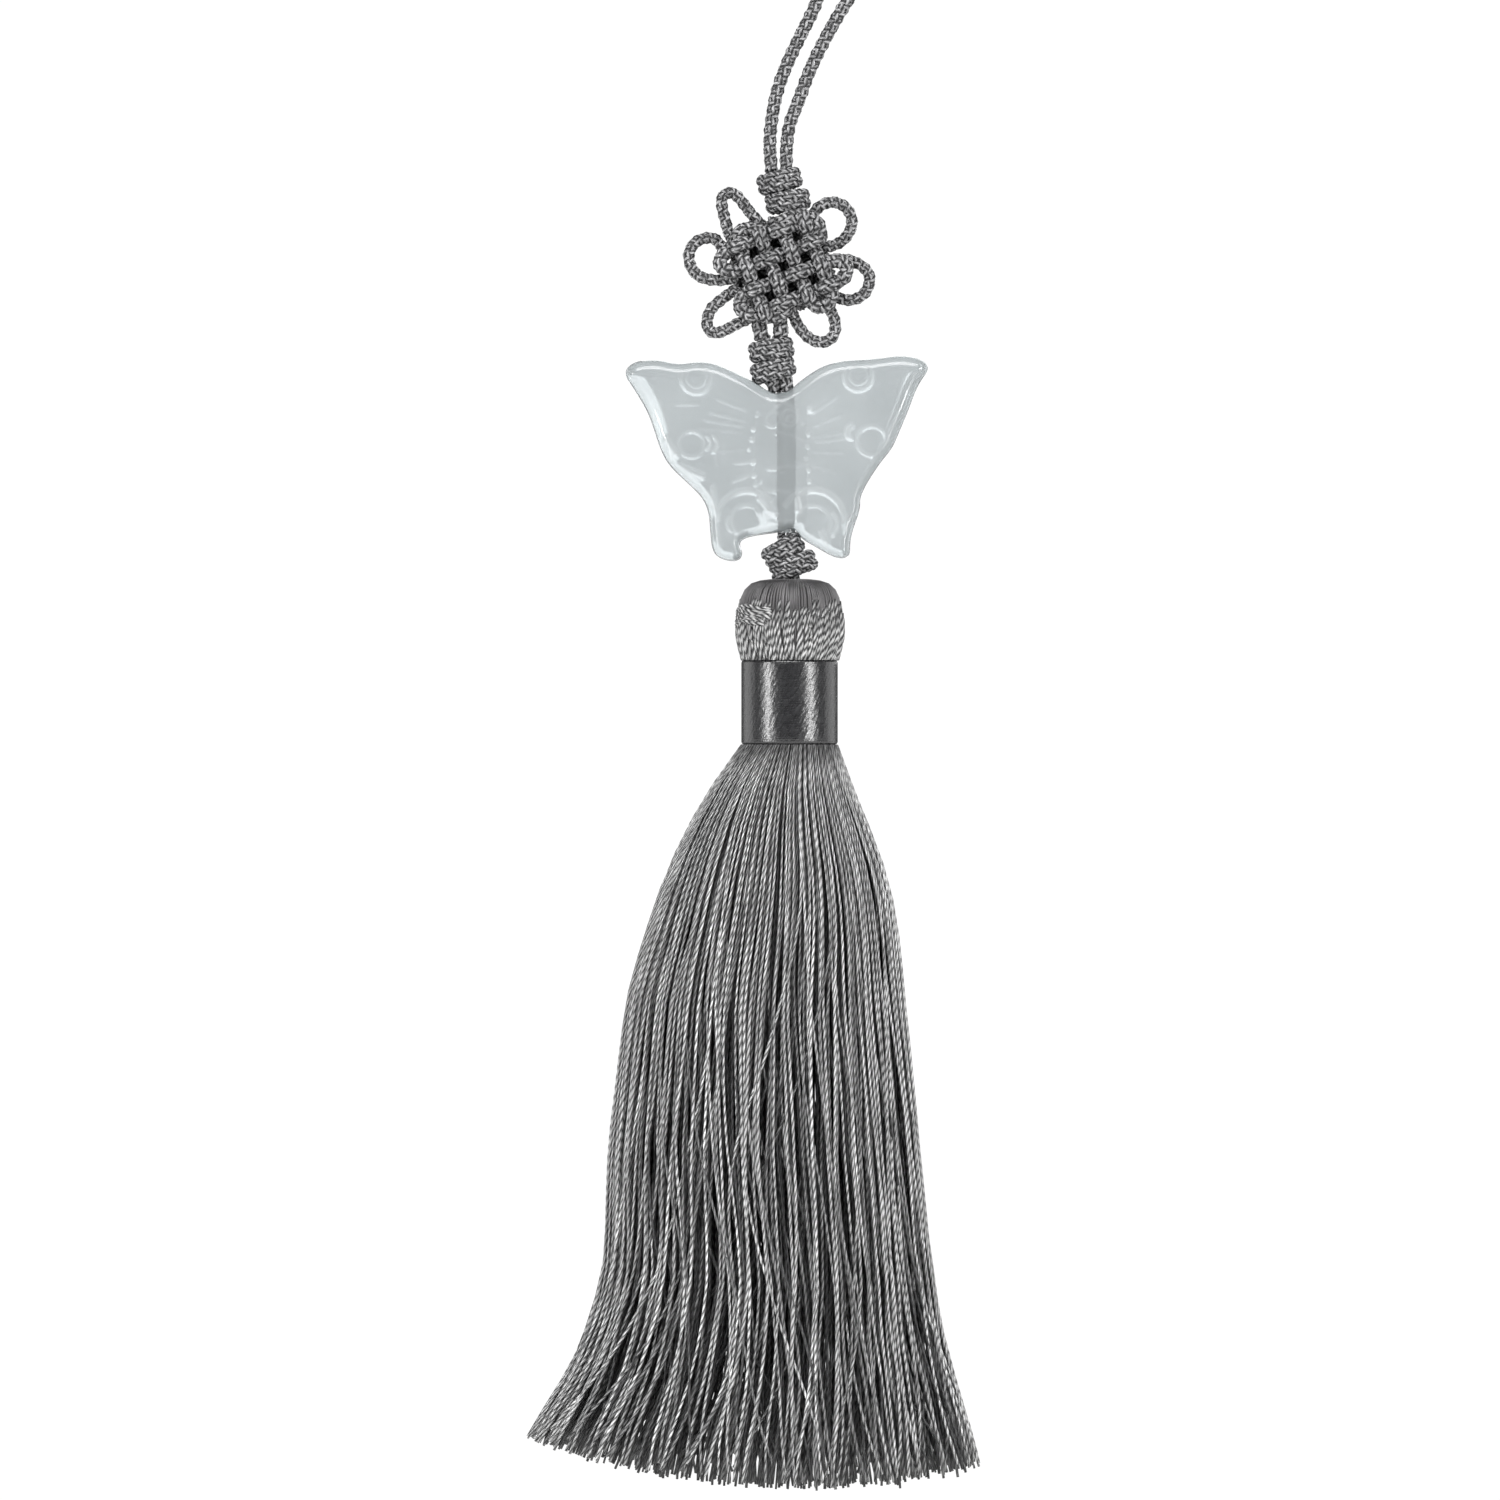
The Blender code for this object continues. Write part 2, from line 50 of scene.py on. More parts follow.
# Camera: the photograph's frame is 1500 pixels square and one pixel is 0.17 mm at the object
view = {
    "pixel": 0.17,
    "pixels": 1500,
    "centreLinePixel": 786.0,
    "loopTopPixel": -130.0,
    "distance": 1.30,
    "sensor": 36.0,
}


def makeCamera():
    side = view["pixel"] * view["pixels"] * mm
    data = bpy.data.cameras.new("camera")
    data.sensor_width = view["sensor"]
    data.lens = view["sensor"] * view["distance"] / side
    data.clip_end = 20
    camera = bpy.data.objects.new("camera", data)
    middle = view["pixels"] / 2
    x = (middle - view["centreLinePixel"]) * view["pixel"] * mm + centreLineX
    z = (view["loopTopPixel"] - middle) * view["pixel"] * mm
    camera.location = (x, -view["distance"], z)
    camera.rotation_euler = (math.pi / 2, 0, 0)
    bpy.context.scene.collection.objects.link(camera)
    bpy.context.scene.camera = camera


# Shader maths: a wire is a socket, and an expression on wires adds its Math nodes
class Wire:
    def __init__(self, tree, socket):
        self.tree = tree
        self.socket = socket

    def node(self, kind, settings=None, **sockets):
        made = self.tree.nodes.new(kind)
        for name, value in (settings or {}).items():
            setattr(made, name, value)
        for name, value in sockets.items():
            key = int(name[1:]) if name[0] == "n" and name[1:].isdigit() else name.replace("_", " ")
            target = made.inputs[key]
            if isinstance(value, Wire):
                self.tree.links.new(value.socket, target)
            else:
                target.default_value = value
        return made

    def out(self, kind, settings=None, output=0, **sockets):
        return Wire(self.tree, self.node(kind, settings, **sockets).outputs[output])

    def math(self, operation, *values):
        sockets = {f"n{i}": value for i, value in enumerate(values)}
        return self.out("ShaderNodeMath", {"operation": operation}, **sockets)

    def __add__(self, other):
        return self.math("ADD", self, other)

    def __radd__(self, other):
        return self.math("ADD", other, self)

    def __sub__(self, other):
        return self.math("SUBTRACT", self, other)

    def __rsub__(self, other):
        return self.math("SUBTRACT", other, self)

    def __mul__(self, other):
        return self.math("MULTIPLY", self, other)

    def __rmul__(self, other):
        return self.math("MULTIPLY", other, self)

    def __truediv__(self, other):
        return self.math("DIVIDE", self, other)

    def __pow__(self, other):
        return self.math("POWER", self, other)

    def sine(self):
        return self.math("SINE", self)

    def wave(self):
        return 0.5 + 0.5 * (2 * math.pi * self).sine()

    def clamp(self):
        return self.math("MAXIMUM", self.math("MINIMUM", self, 1.0), 0.0)

    def between(self, low, high):
        return ((self - low) / (high - low)).clamp()

    def split(self):
        made = self.node("ShaderNodeSeparateXYZ", n0=self)
        return [Wire(self.tree, made.outputs[i]) for i in range(3)]

    def colour(self, low, high):
        settings = {"data_type": "RGBA", "clamp_factor": True}
        return self.out("ShaderNodeMix", settings, 2, n0=self, n6=(*low, 1), n7=(*high, 1))

    def noise(self, scale, detail=2.0, roughness=0.5):
        sockets = {"Vector": self, "Scale": scale, "Detail": detail, "Roughness": roughness}
        return self.out("ShaderNodeTexNoise", **sockets)


# A new material: its shader, its Object coordinates and the piece's own map
def newMaterial(name, **fixed):
    made = bpy.data.materials.new(name)
    made.use_nodes = True
    tree = made.node_tree
    shader = tree.nodes["Principled BSDF"]
    for key, value in fixed.items():
        shader.inputs[key.replace("_", " ")].default_value = value
    start = Wire(tree, None)
    places = start.out("ShaderNodeTexCoord", output=3)
    uv = start.out("ShaderNodeUVMap", {"uv_map": "thread"})
    return made, shader, places, uv


def connect(shader, name, wire):
    wire.tree.links.new(wire.socket, shader.inputs[name])


def bump(shader, height, distance):
    connect(shader, "Normal", height.out("ShaderNodeBump", Height=height, Distance=distance, Strength=1.0))


# What all the twisted silks share
silk = {
    "wanderScale": 140.0,
    "wander": 0.6,  # how far the twist wanders, in turns
    "strandTurns": 41.0,  # turns by which a strand's own tone shifts its twist
    "toneRange": (0.32, 0.68),
    "leastInFibreShade": 0.65,  # painted shade: colour left in the hollows between fibres
    "leastTone": 0.45,
    "leastInRootShade": 0.35,
    "hollowRoughness": 0.15,
    "plyBump": 0.8,
    "fibreBump": 0.2,
    "sheenRoughness": 0.4,
}


# From a least share up to 1 as the wire goes from 0 to 1
def atLeast(least, wire):
    return least + (1 - least) * wire


# Twisted silk: the map's u goes once round the thread and v is the length in millimetres.
# Ply height = half of 1 + sin(2 pi (plies u + v / pitch)). The hollows between the plies and fibres are
# painted darker as shade, and so is the part inside or close to the binding (v below root). A layered piece
# has a tone for each strand, painted shade on the deeper layers times a random tone.
def twistedSilk(name, look, layered=False):
    fixed = {"Sheen_Weight": look["sheen"], "Sheen_Roughness": silk["sheenRoughness"]}
    made, shader, places, uv = newMaterial(name, Specular_IOR_Level=look["gloss"], **fixed)
    around, along, _ = uv.split()
    shift = places.noise(silk["wanderScale"], 1.0) * silk["wander"]
    if layered:
        own, _, _ = places.out("ShaderNodeUVMap", {"uv_map": "tone"}).split()
        shift = shift + own * silk["strandTurns"]
    ply = (around * look["plies"] + along / look["pitch"] + shift).wave()
    fibre = (around * look["fibres"] + along * look["fibreTurn"] + shift).wave()
    stretched = places.out("ShaderNodeMapping", Vector=places, Scale=(1.0, 1.0, look["toneStretch"]))
    tone = stretched.noise(look["toneScale"], 1.0).between(*silk["toneRange"])
    # painted shade: the hollows between plies and between fibres are darker; the noise tone is the silk's own
    # random tone
    light = ply ** look["contrast"] * atLeast(silk["leastInFibreShade"], fibre) * atLeast(silk["leastTone"], tone)
    # painted shade: the thread is darker inside and close to the binding
    if look["root"]:
        light = light * atLeast(silk["leastInRootShade"], along.between(*look["root"]))
    # painted shade: deeper strands are darker, times each strand's random tone
    if layered:
        light = light * own
    connect(shader, "Base Color", light.clamp().colour(look["dark"], look["light"]))
    connect(shader, "Roughness", (look["roughness"] + silk["hollowRoughness"] * (1 - ply)).clamp())
    bump(shader, ply * silk["plyBump"] + fibre * silk["fibreBump"], look["bump"])
    return made


# Across many paths at once: side = tangent x up, normal = side x tangent; paths is (strand, step, 3)
def sideAndNormal(paths, up):
    tangent = np.gradient(paths, axis=1)
    tangent /= np.linalg.norm(tangent, axis=2, keepdims=True)
    side = np.cross(tangent, np.broadcast_to(up, paths.shape))
    side /= np.maximum(np.linalg.norm(side, axis=2, keepdims=True), 1e-9)
    return side, np.cross(side, tangent)


# Tubes round many paths: point = path + side a cos(angle) + normal b sin(angle), with a and b the radii
def tubes(paths, wide, thick, sides, up=(0.0, 1.0, 0.0), turn=0.0):
    strands, steps, _ = paths.shape
    side, normal = sideAndNormal(paths, up)
    angle = (2 * np.pi * np.arange(sides + 1) / sides)[None, None, :, None] + np.reshape(turn, (-1, 1, 1, 1))
    wide = np.broadcast_to(wide, (strands, steps))[:, :, None, None]
    thick = np.broadcast_to(thick, (strands, steps))[:, :, None, None]
    ring = side[:, :, None] * np.cos(angle) * wide + normal[:, :, None] * np.sin(angle) * thick
    points = (paths[:, :, None] + ring)[:, :, :sides].reshape(-1, 3)
    length = np.zeros((strands, steps))
    length[:, 1:] = np.cumsum(np.linalg.norm(np.diff(paths, axis=1), axis=2), axis=1) / mm
    first = (np.arange(strands) * steps * sides)[:, None, None]
    row = first + np.arange(steps - 1)[None, :, None] * sides
    col = np.arange(sides)[None, None, :]
    nextCol = (col + 1) % sides
    quads = np.stack([row + col, row + sides + col, row + sides + nextCol, row + nextCol], -1).reshape(-1, 4)
    u = np.broadcast_to(np.stack([col, col, col + 1, col + 1], -1) / sides, (strands, steps - 1, sides, 4))
    low, high = length[:, :-1, None], length[:, 1:, None]
    v = np.broadcast_to(np.stack([low, high, high, low], -1), (strands, steps - 1, sides, 4))
    maps = np.stack([u, v], -1).reshape(-1, 2)
    last = first + (steps - 1) * sides
    caps = np.concatenate([first + col, last + col[..., ::-1]], 1).reshape(-1, sides)
    capMaps = np.stack([np.broadcast_to(np.arange(sides) / sides, caps.shape), np.zeros(caps.shape)], -1)
    return points, quads, maps, caps, capMaps.reshape(-1, 2)


# Several tubes as one piece: the point numbers of each go up by the points before it
def joinParts(parts):
    offset = 0
    points, quads, maps, caps, capMaps = [], [], [], [], []
    for p, q, m, c, k in parts:
        points.append(p)
        quads.append(q + offset)
        maps.append(m)
        caps.append(c + offset)
        capMaps.append(k)
        offset += len(p)
    return [np.concatenate(found) for found in (points, quads, maps, caps, capMaps)]


# A mesh object from whole arrays: quads with their map, and end caps
def meshObject(name, parts, material, replaced=(), layerShadesAndTones=None):
    points, quads, maps, caps, capMaps = parts
    data = bpy.data.meshes.new(name)
    sizes = np.concatenate([np.full(len(quads), 4), np.full(len(caps), caps.shape[1] if len(caps) else 3)])
    loops = np.concatenate([quads.ravel(), caps.ravel()]).astype(np.int32)
    data.vertices.add(len(points))
    data.vertices.foreach_set("co", points.astype(np.float32).ravel())
    data.loops.add(len(loops))
    data.loops.foreach_set("vertex_index", loops)
    data.polygons.add(len(sizes))
    starts = np.concatenate([[0], np.cumsum(sizes)[:-1]]).astype(np.int32)
    data.polygons.foreach_set("loop_start", starts)
    data.polygons.foreach_set("use_smooth", sizes == 4)
    data.update(calc_edges=True)
    data.validate()
    layer = data.uv_layers.new(name="thread")
    layer.data.foreach_set("uv", np.concatenate([maps, capMaps]).astype(np.float32).ravel())
    # the tone map: each strand's painted layer shade times its random tone
    if layerShadesAndTones is not None:
        quadTones = np.repeat(layerShadesAndTones, len(quads) * 4 // len(layerShadesAndTones))
        capTones = np.tile(np.repeat(layerShadesAndTones, caps.shape[1]), 2) if len(caps) else np.zeros(0)
        both = np.repeat(np.concatenate([quadTones, capTones]), 2)
        data.uv_layers.new(name="tone").data.foreach_set("uv", both.astype(np.float32))
    made = bpy.data.objects.new(name, data)
    bpy.context.scene.collection.objects.link(made)
    data.materials.append(material)
    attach(made, "root")
    if replaced:
        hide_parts(*replaced)
    print("made", name, len(quads) * 2 + len(caps) * 2, "triangles")
    return made


curveSamples = 24


# A smooth path: Catmull-Rom through the points, then read off at even spacing
def smoothPath(points, spacing, closed=False):
    points = np.asarray(points, float)
    if closed:
        ring = np.concatenate([points[-1:], points, points[:2]])
    else:
        ring = np.concatenate([2 * points[:1] - points[1:2], points, 2 * points[-1:] - points[-2:-1]])
    a, b, c, d = ring[:-3, None], ring[1:-2, None], ring[2:-1, None], ring[3:, None]
    t = np.linspace(0, 1, curveSamples, endpoint=False)[None, :, None]
    dense = 0.5 * (2 * b + (c - a) * t + (2 * a - 5 * b + 4 * c - d) * t**2 + (3 * b - a - 3 * c + d) * t**3)
    dense = np.concatenate([dense.reshape(-1, 3), points[:1] if closed else points[-1:]])
    run = np.concatenate([[0], np.cumsum(np.linalg.norm(np.diff(dense, axis=0), axis=1))])
    count = max(4, int(round(run[-1] / spacing)) + 1)
    at = np.linspace(0, run[-1], count)
    return np.stack([np.interp(at, run, dense[:, i]) for i in range(3)], 1), at


# Braided cord: eight flat yarns, four each way round. A yarn's centre is at radius r + w cos(8 pi s / turn)
# one way and r - w cos(8 pi s / turn) the other, at angle 2 pi s / turn + quarter turns, so they pass over
# and under. Sizes in millimetres for a cord of size 1.
cordLook = {
    "turn": 6.2,
    "stepsPerTurn": 15,
    "centre": 0.70,
    "weave": 0.13,
    "yarnWide": 0.41,
    "yarnThick": 0.27,
    "sides": 6,
}


def braid(route, up=(0.0, 1.0, 0.0), size=1.0, closed=False, shift=0.0):
    turn = cordLook["turn"] * size * mm
    path, at = smoothPath(route, turn / cordLook["stepsPerTurn"], closed)
    side, normal = sideAndNormal(path[None], up)
    if closed:
        turn = at[-1] / max(1, round(at[-1] / turn))
    yarn = np.arange(8)
    way = np.where(yarn < 4, 1.0, -1.0)[:, None]
    turns = at[None] / turn + shift
    angle = way * 2 * np.pi * turns + (yarn % 4)[:, None] * np.pi / 2
    over = np.cos(8 * np.pi * turns) * way
    radius = (cordLook["centre"] + cordLook["weave"] * over) * size * mm
    out = side[0][None] * np.cos(angle)[..., None] + normal[0][None] * np.sin(angle)[..., None]
    yarns = path[None] + out * radius[..., None]
    wide, thick = cordLook["yarnWide"] * size * mm, cordLook["yarnThick"] * size * mm
    return tubes(yarns, wide, thick, cordLook["sides"], out)


print("camera and cords")
makeCamera()

# Hanging loop: x and z up the left strand, over the top and down the right one, in millimetres
hangingLoop = {
    "diameter": 2.0,
    "size": 1.12,
    "lineStep": 2.0,
    "route": (
        (-2.45, -51.2), (-2.75, -46.4), (-2.30, -41.6), (-1.30, -37.0), (0.40, -32.5), (2.60, -27.9),
        (4.80, -23.4), (6.10, -19.0), (6.60, -14.6), (6.50, -10.4), (6.35, -6.4), (6.95, -2.7),
        (8.70, 0.1), (11.22, 1.0), (13.74, 0.1), (15.60, -2.7), (16.25, -6.8), (15.75, -11.2),
        (14.10, -15.8), (11.70, -20.2), (8.85, -24.8), (6.20, -29.6), (4.05, -34.1), (2.30, -38.8),
        (0.60, -43.4), (0.10, -47.4), (0.05, -51.2),
    ),
}
silkCord = twistedSilk("silkCord", {
    "dark": (0.003, 0.003, 0.004), "light": (0.52, 0.52, 0.53), "contrast": 1.6, "root": None,
    "sheen": 0.05, "gloss": 0.5, "roughness": 0.36, "bump": 0.00012,
    "plies": 2.0, "pitch": 1.4, "fibres": 5.0, "fibreTurn": 0.35, "toneScale": 900.0, "toneStretch": 1.0,
})


def hangingCord():
    route = place(*np.array(hangingLoop["route"]).T)
    parts = braid(route, size=hangingLoop["size"])
    cord = meshObject("hangingCord", parts, silkCord, ["hanging_cord"])
    line, at = smoothPath(route, hangingLoop["lineStep"] * mm)


hangingCord()

print("knots")
# A wrap is two turns of cord side by side: their distance from its middle, their size against the wrap's
wrapLook = {"apart": 0.72, "size": 0.8, "shift": 0.2, "points": 14}
# Small knots: slanted wraps round a short length of the doubled cord, in millimetres.
# A wrap is x, z, half width, half depth, slant in degrees and size; a leg is its points' x and z.
smallKnots = {
    "upperKnot": {
        "node": "upper_knot",
        "wraps": ((-1.1, -52.9, 2.9, 2.0, 14.0, 1.30), (0.3, -56.3, 2.9, 2.0, 8.0, 1.30)),
        "legs": (
            ((-2.2, -51.3), (-1.9, -54.5), (-1.7, -58.4)),
            ((0.1, -51.3), (0.0, -54.5), (0.4, -58.4)),
        ),
        "legSize": 0.95,
    },
    "lowerKnot": {
        "node": "lower_knot",
        "wraps": ((-2.5, -81.6, 2.9, 2.0, 10.0, 1.32), (-2.2, -85.0, 2.9, 2.0, 16.0, 1.32)),
        "legs": (
            ((-3.9, -79.3), (-3.2, -84.5), (-1.7, -88.6)),
            ((-1.1, -79.3), (-0.5, -84.5), (0.3, -88.6)),
        ),
        "legSize": 1.22,
    },
    "endKnot": {
        "node": "end_knot",
        "wraps": ((-0.5, -115.6, 2.7, 2.0, 30.0, 1.36), (1.3, -118.3, 3.1, 2.0, 20.0, 1.34)),
        "legs": (
            ((-0.6, -113.3), (-0.5, -116.5), (-0.6, -121.4)),
            ((1.3, -113.3), (1.4, -116.5), (1.4, -121.4)),
        ),
        "legSize": 0.9,
    },
}


# A slanted ring: an ellipse of half width and half depth, its width turned by the slant
def wrapRing(x, z, halfWidth, halfDepth, turn):
    angle = np.linspace(0, 2 * np.pi, wrapLook["points"], endpoint=False)
    across = halfWidth * np.cos(angle)
    return place(x + across * math.cos(turn), z + across * math.sin(turn), halfDepth * np.sin(angle))


def smallKnot(name, facts):
    parts = []
    for x, z, halfWidth, halfDepth, slant, size in facts["wraps"]:
        turn = math.radians(slant)
        axis = np.array((-math.sin(turn), 0.0, math.cos(turn)))
        for side in (-1, 1):
            apart, shift = side * wrapLook["apart"], side * wrapLook["shift"]
            ring = wrapRing(x + axis[0] * apart, z + axis[2] * apart, halfWidth, halfDepth, turn)
            parts.append(braid(ring, axis, size * wrapLook["size"], closed=True, shift=shift))
    for leg in facts["legs"]:
        parts.append(braid(place(*np.array(leg).T), size=facts["legSize"]))
    meshObject(name, joinParts(parts), silkCord, [facts["node"]])


for knotName, knotFacts in smallKnots.items():
    smallKnot(knotName, knotFacts)

# Flower knot: rows and columns on a turned square lattice, in a front and a back layer
flower = {
    "centre": (-0.36, -67.4),
    "tilt": math.radians(21.0),
    "pitch": 3.96,
    "lines": 4,
    "layerY": 1.90,
    "weaveY": 1.00,
    "overhang": 1.5,
    "earOverhang": 0.9,
    "size": 1.25,
    "shift": 0.13,
    "backLines": (-6.2, -3.4, 0.3, 4.2),
    "loopY": 0.3,
    "loopEndY": -0.8,
    "earPoints": 7,
    # side, first line, reach
    "ears": (
        ("top", 0, 1.3), ("top", 2, 0.5), ("bottom", 0, 0.6), ("bottom", 2, 2.0),
        ("left", 0, 3.2), ("left", 2, 2.6), ("right", 0, 1.1), ("right", 2, 3.0),
    ),
}
flowerLoops = {
    "upperLeft": (
        (-8.4, -64.2), (-9.6, -62.0), (-10.3, -59.6), (-10.85, -57.3), (-10.85, -55.7), (-9.9, -54.9),
        (-8.7, -55.1), (-7.3, -56.6), (-5.95, -58.4), (-4.8, -59.6), (-3.9, -60.7), (-2.9, -62.4),
    ),
    "left": (
        (-8.6, -65.6), (-10.9, -64.0), (-12.1, -62.7), (-13.9, -62.6), (-15.6, -63.5), (-16.5, -65.3),
        (-16.2, -67.3), (-14.95, -68.9), (-13.0, -69.6), (-10.95, -69.7), (-9.6, -69.5), (-7.8, -69.3),
    ),
    "lowerLeft": (
        (-7.8, -70.8), (-9.6, -72.0), (-11.2, -73.2), (-12.7, -74.6), (-13.4, -76.4), (-13.2, -78.0),
        (-12.0, -78.7), (-10.3, -78.2), (-8.45, -77.2), (-6.9, -76.5), (-5.4, -75.8),
    ),
    "lowerRight": (
        (0.6, -74.4), (1.35, -75.9), (2.0, -77.3), (3.2, -78.9), (4.75, -80.0), (6.6, -80.2),
        (7.95, -79.3), (8.4, -77.7), (8.15, -76.1), (7.5, -74.8), (6.4, -73.6),
    ),
    "right": (
        (6.6, -67.4), (8.15, -66.6), (9.55, -66.2), (11.1, -66.4), (12.9, -67.3), (14.1, -68.7),
        (14.1, -70.5), (13.2, -72.1), (11.6, -73.0), (9.75, -73.0), (8.15, -72.3), (6.8, -71.4),
    ),
    "upperRight": (
        (3.4, -61.2), (4.05, -59.6), (5.2, -57.7), (6.6, -56.7), (8.4, -56.5), (10.1, -57.3),
        (11.1, -58.9), (11.1, -60.7), (10.1, -62.5), (8.6, -63.6), (6.0, -64.4),
    ),
}
# Legs of the doubled cord: x and z, distance behind the knot's middle plane, size
flowerLegs = (
    (((0.9, -59.2), (1.9, -60.2), (3.5, -62.4)), -0.8, 1.15),
    (((-1.9, -59.2), (-1.9, -60.4), (-1.5, -62.4)), -0.8, 1.15),
    (((-4.6, -73.6), (-4.7, -76.4), (-4.1, -79.6)), -0.2, 1.32),
    (((-2.0, -74.4), (-1.0, -76.8), (-0.9, -79.6)), -0.2, 1.32),
)


# A place on the lattice: u and v turned by the tilt about the knot's centre
def lattice(u, v, y):
    tilt = flower["tilt"]
    x = flower["centre"][0] + u * math.cos(tilt) - v * math.sin(tilt)
    z = flower["centre"][1] + u * math.sin(tilt) + v * math.cos(tilt)
    return place(x, z, y)


# Where line i of the lattice lies, evenly in front and as drawn at the back
def lineAt(i, layer=-1):
    if layer > 0:
        return np.array(flower["backLines"])[i]
    return flower["pitch"] * (np.asarray(i) - (flower["lines"] - 1) / 2)


# A woven run: y = layer (layerY +- weaveY), changing sign from one crossing to the next
def wovenRun(line, isRow, layer):
    reach = lineAt(flower["lines"] - 1) + flower["overhang"]
    along = np.concatenate([[-reach], lineAt(np.arange(flower["lines"]), layer), [reach]])
    crossing = np.clip(np.arange(len(along)) - 1, 0, flower["lines"] - 1)
    over = (line + crossing) % 2 == (0 if isRow else 1)
    lift = layer * (flower["layerY"] + np.where(over, 1, -1) * flower["weaveY"])
    lift[[0, -1]] = layer * flower["layerY"]
    across = lineAt(line, layer) + 0 * along
    return lattice(along, -across, lift) if isRow else lattice(across, -along, lift)


# A short turn at the front of the lattice: half an ellipse from one line to its neighbour
def earRoute(side, first, reach):
    half = flower["pitch"] / 2
    angle = np.linspace(0, np.pi, flower["earPoints"])
    along = lineAt(first) + half - half * np.cos(angle)
    out = lineAt(flower["lines"] - 1) + flower["earOverhang"] + reach * np.sin(angle)
    ways = {"top": (along, out), "bottom": (along, -out), "left": (-out, -along), "right": (out, -along)}
    u, v = ways[side]
    return lattice(u, v, -flower["layerY"])


def flowerKnot():
    parts = []
    for layer in (-1, 1):
        for isRow in (True, False):
            for line in range(flower["lines"]):
                run = wovenRun(line, isRow, layer)
                parts.append(braid(run, size=flower["size"], shift=flower["shift"] * line))
    for route in flowerLoops.values():
        y = np.full(len(route), flower["loopY"])
        y[[0, -1]] = flower["loopEndY"]
        parts.append(braid(place(*np.array(route).T, y)))
    for side, first, reach in flower["ears"]:
        parts.append(braid(earRoute(side, first, reach), size=flower["size"]))
    for leg, y, size in flowerLegs:
        parts.append(braid(place(*np.array(leg).T, y), size=size))
    meshObject("flowerKnot", joinParts(parts), silkCord, ["flower_knot"])


flowerKnot()


# The doubled cord inside the bead: heights and places of its strands in millimetres
insideCord = {
    "top": -88.6,
    "bottom": -113.2,
    "strands": (-0.78, 0.78),
    "size": 0.72,
    "points": 7,
    "shift": 0.1,
}


def beadCord():
    z = np.linspace(insideCord["top"], insideCord["bottom"], insideCord["points"])
    parts = []
    for x in insideCord["strands"]:
        parts.append(braid(place(x + 0 * z, z), size=insideCord["size"], shift=insideCord["shift"] * x))
    meshObject("beadCord", joinParts(parts), silkCord, ["bead_cord"])


beadCord()

print("skirt")
# Skirt: depth below the band, offset of the middle, half width and half depth, in millimetres
skirt = {
    "shape": (
        (0.0, 0.6, 8.2, 8.2),
        (6.6, -0.6, 11.8, 10.6),
        (15.1, -1.4, 16.2, 12.8),
        (22.0, -1.7, 18.9, 14.2),
        (29.4, -2.2, 21.0, 15.3),
        (42.8, -3.5, 23.6, 16.6),
        (68.7, -3.8, 26.4, 18.8),
        (90.3, -3.1, 27.8, 20.4),
        (105.1, -4.2, 31.8, 22.4),
        (118.5, -6.3, 38.6, 25.2),
        (127.0, -6.8, 40.9, 26.2),
    ),
    "bandBottom": -148.7,
    "length": 126.0,
    # strands, least and greatest share of the way out, tone: painted shade that makes the deeper layers
    # darker
    "layers": (
        (148, 0.985, 1.0, 1.0),
        (165, 0.945, 0.97, 0.45),
        (250, 0.85, 0.92, 0.07),
    ),
    # the same columns; the low tone of the inner strands is painted shade
    "innerLayers": (
        (240, 0.62, 0.86, 0.10),
        (180, 0.10, 0.62, 0.10),
    ),
    "steps": 22,
    "stepPower": 0.9,
    "radius": 0.27,
    "radiusRange": (0.85, 1.1),
    # share of the length and of the radius
    "taper": ((0, 0.48), (0.08, 0.60), (0.2, 0.80), (0.35, 0.96), (0.97, 1), (1, 0.9)),
    "sides": 4,
    "turnRange": (0, 6.28),
    "unevenHem": 0.4,
    "shorter": 0.6,
    "outerShorter": 0.5,
    "drift": 0.10,
    "strays": 0.35,
    "strayDrift": 3.0,
    "spacing": 0.35,
    "clumps": 70,
    "pull": 0.3,
    "pullRange": (0.1, 1.0),
    "toneRange": (0.65, 1.15),
}
# How strands wander: their path is traced past the hem and evened over a few steps. A strand leans away from
# a random start on, and waves, each an amount and its radians a length, swing it sideways and in and out.
wander = {
    "overrun": 1.04,
    "traceSteps": 60,
    "evened": 7,
    "leanStart": (0.05, 0.6),
    "lean": 2.4,
    "leanPower": 1.2,
    "pullPower": 1.2,
    "swing": (0.35, 6.0),
    "ripple": (0.14, 14),
    "swell": (1.0, 2.4),
    "smallSwell": (0.5, 6.5),
    "inward": 0.5,
    "leastReach": 0.25,
}
# painted shade: the strands darken close under the band (root), and the deeper layers are darker (layered)
skirtSilk = twistedSilk("skirtSilk", {
    "dark": (0.005, 0.005, 0.006), "light": (1.0, 1.0, 1.0), "contrast": 0.75, "root": (0.5, 5.0),
    "sheen": 0.14, "gloss": 0.5, "roughness": 0.34, "bump": 0.00008,
    "plies": 2.0, "pitch": 1.7, "fibres": 7.0, "fibreTurn": 0.2, "toneScale": 800.0, "toneStretch": 0.08,
}, layered=True)


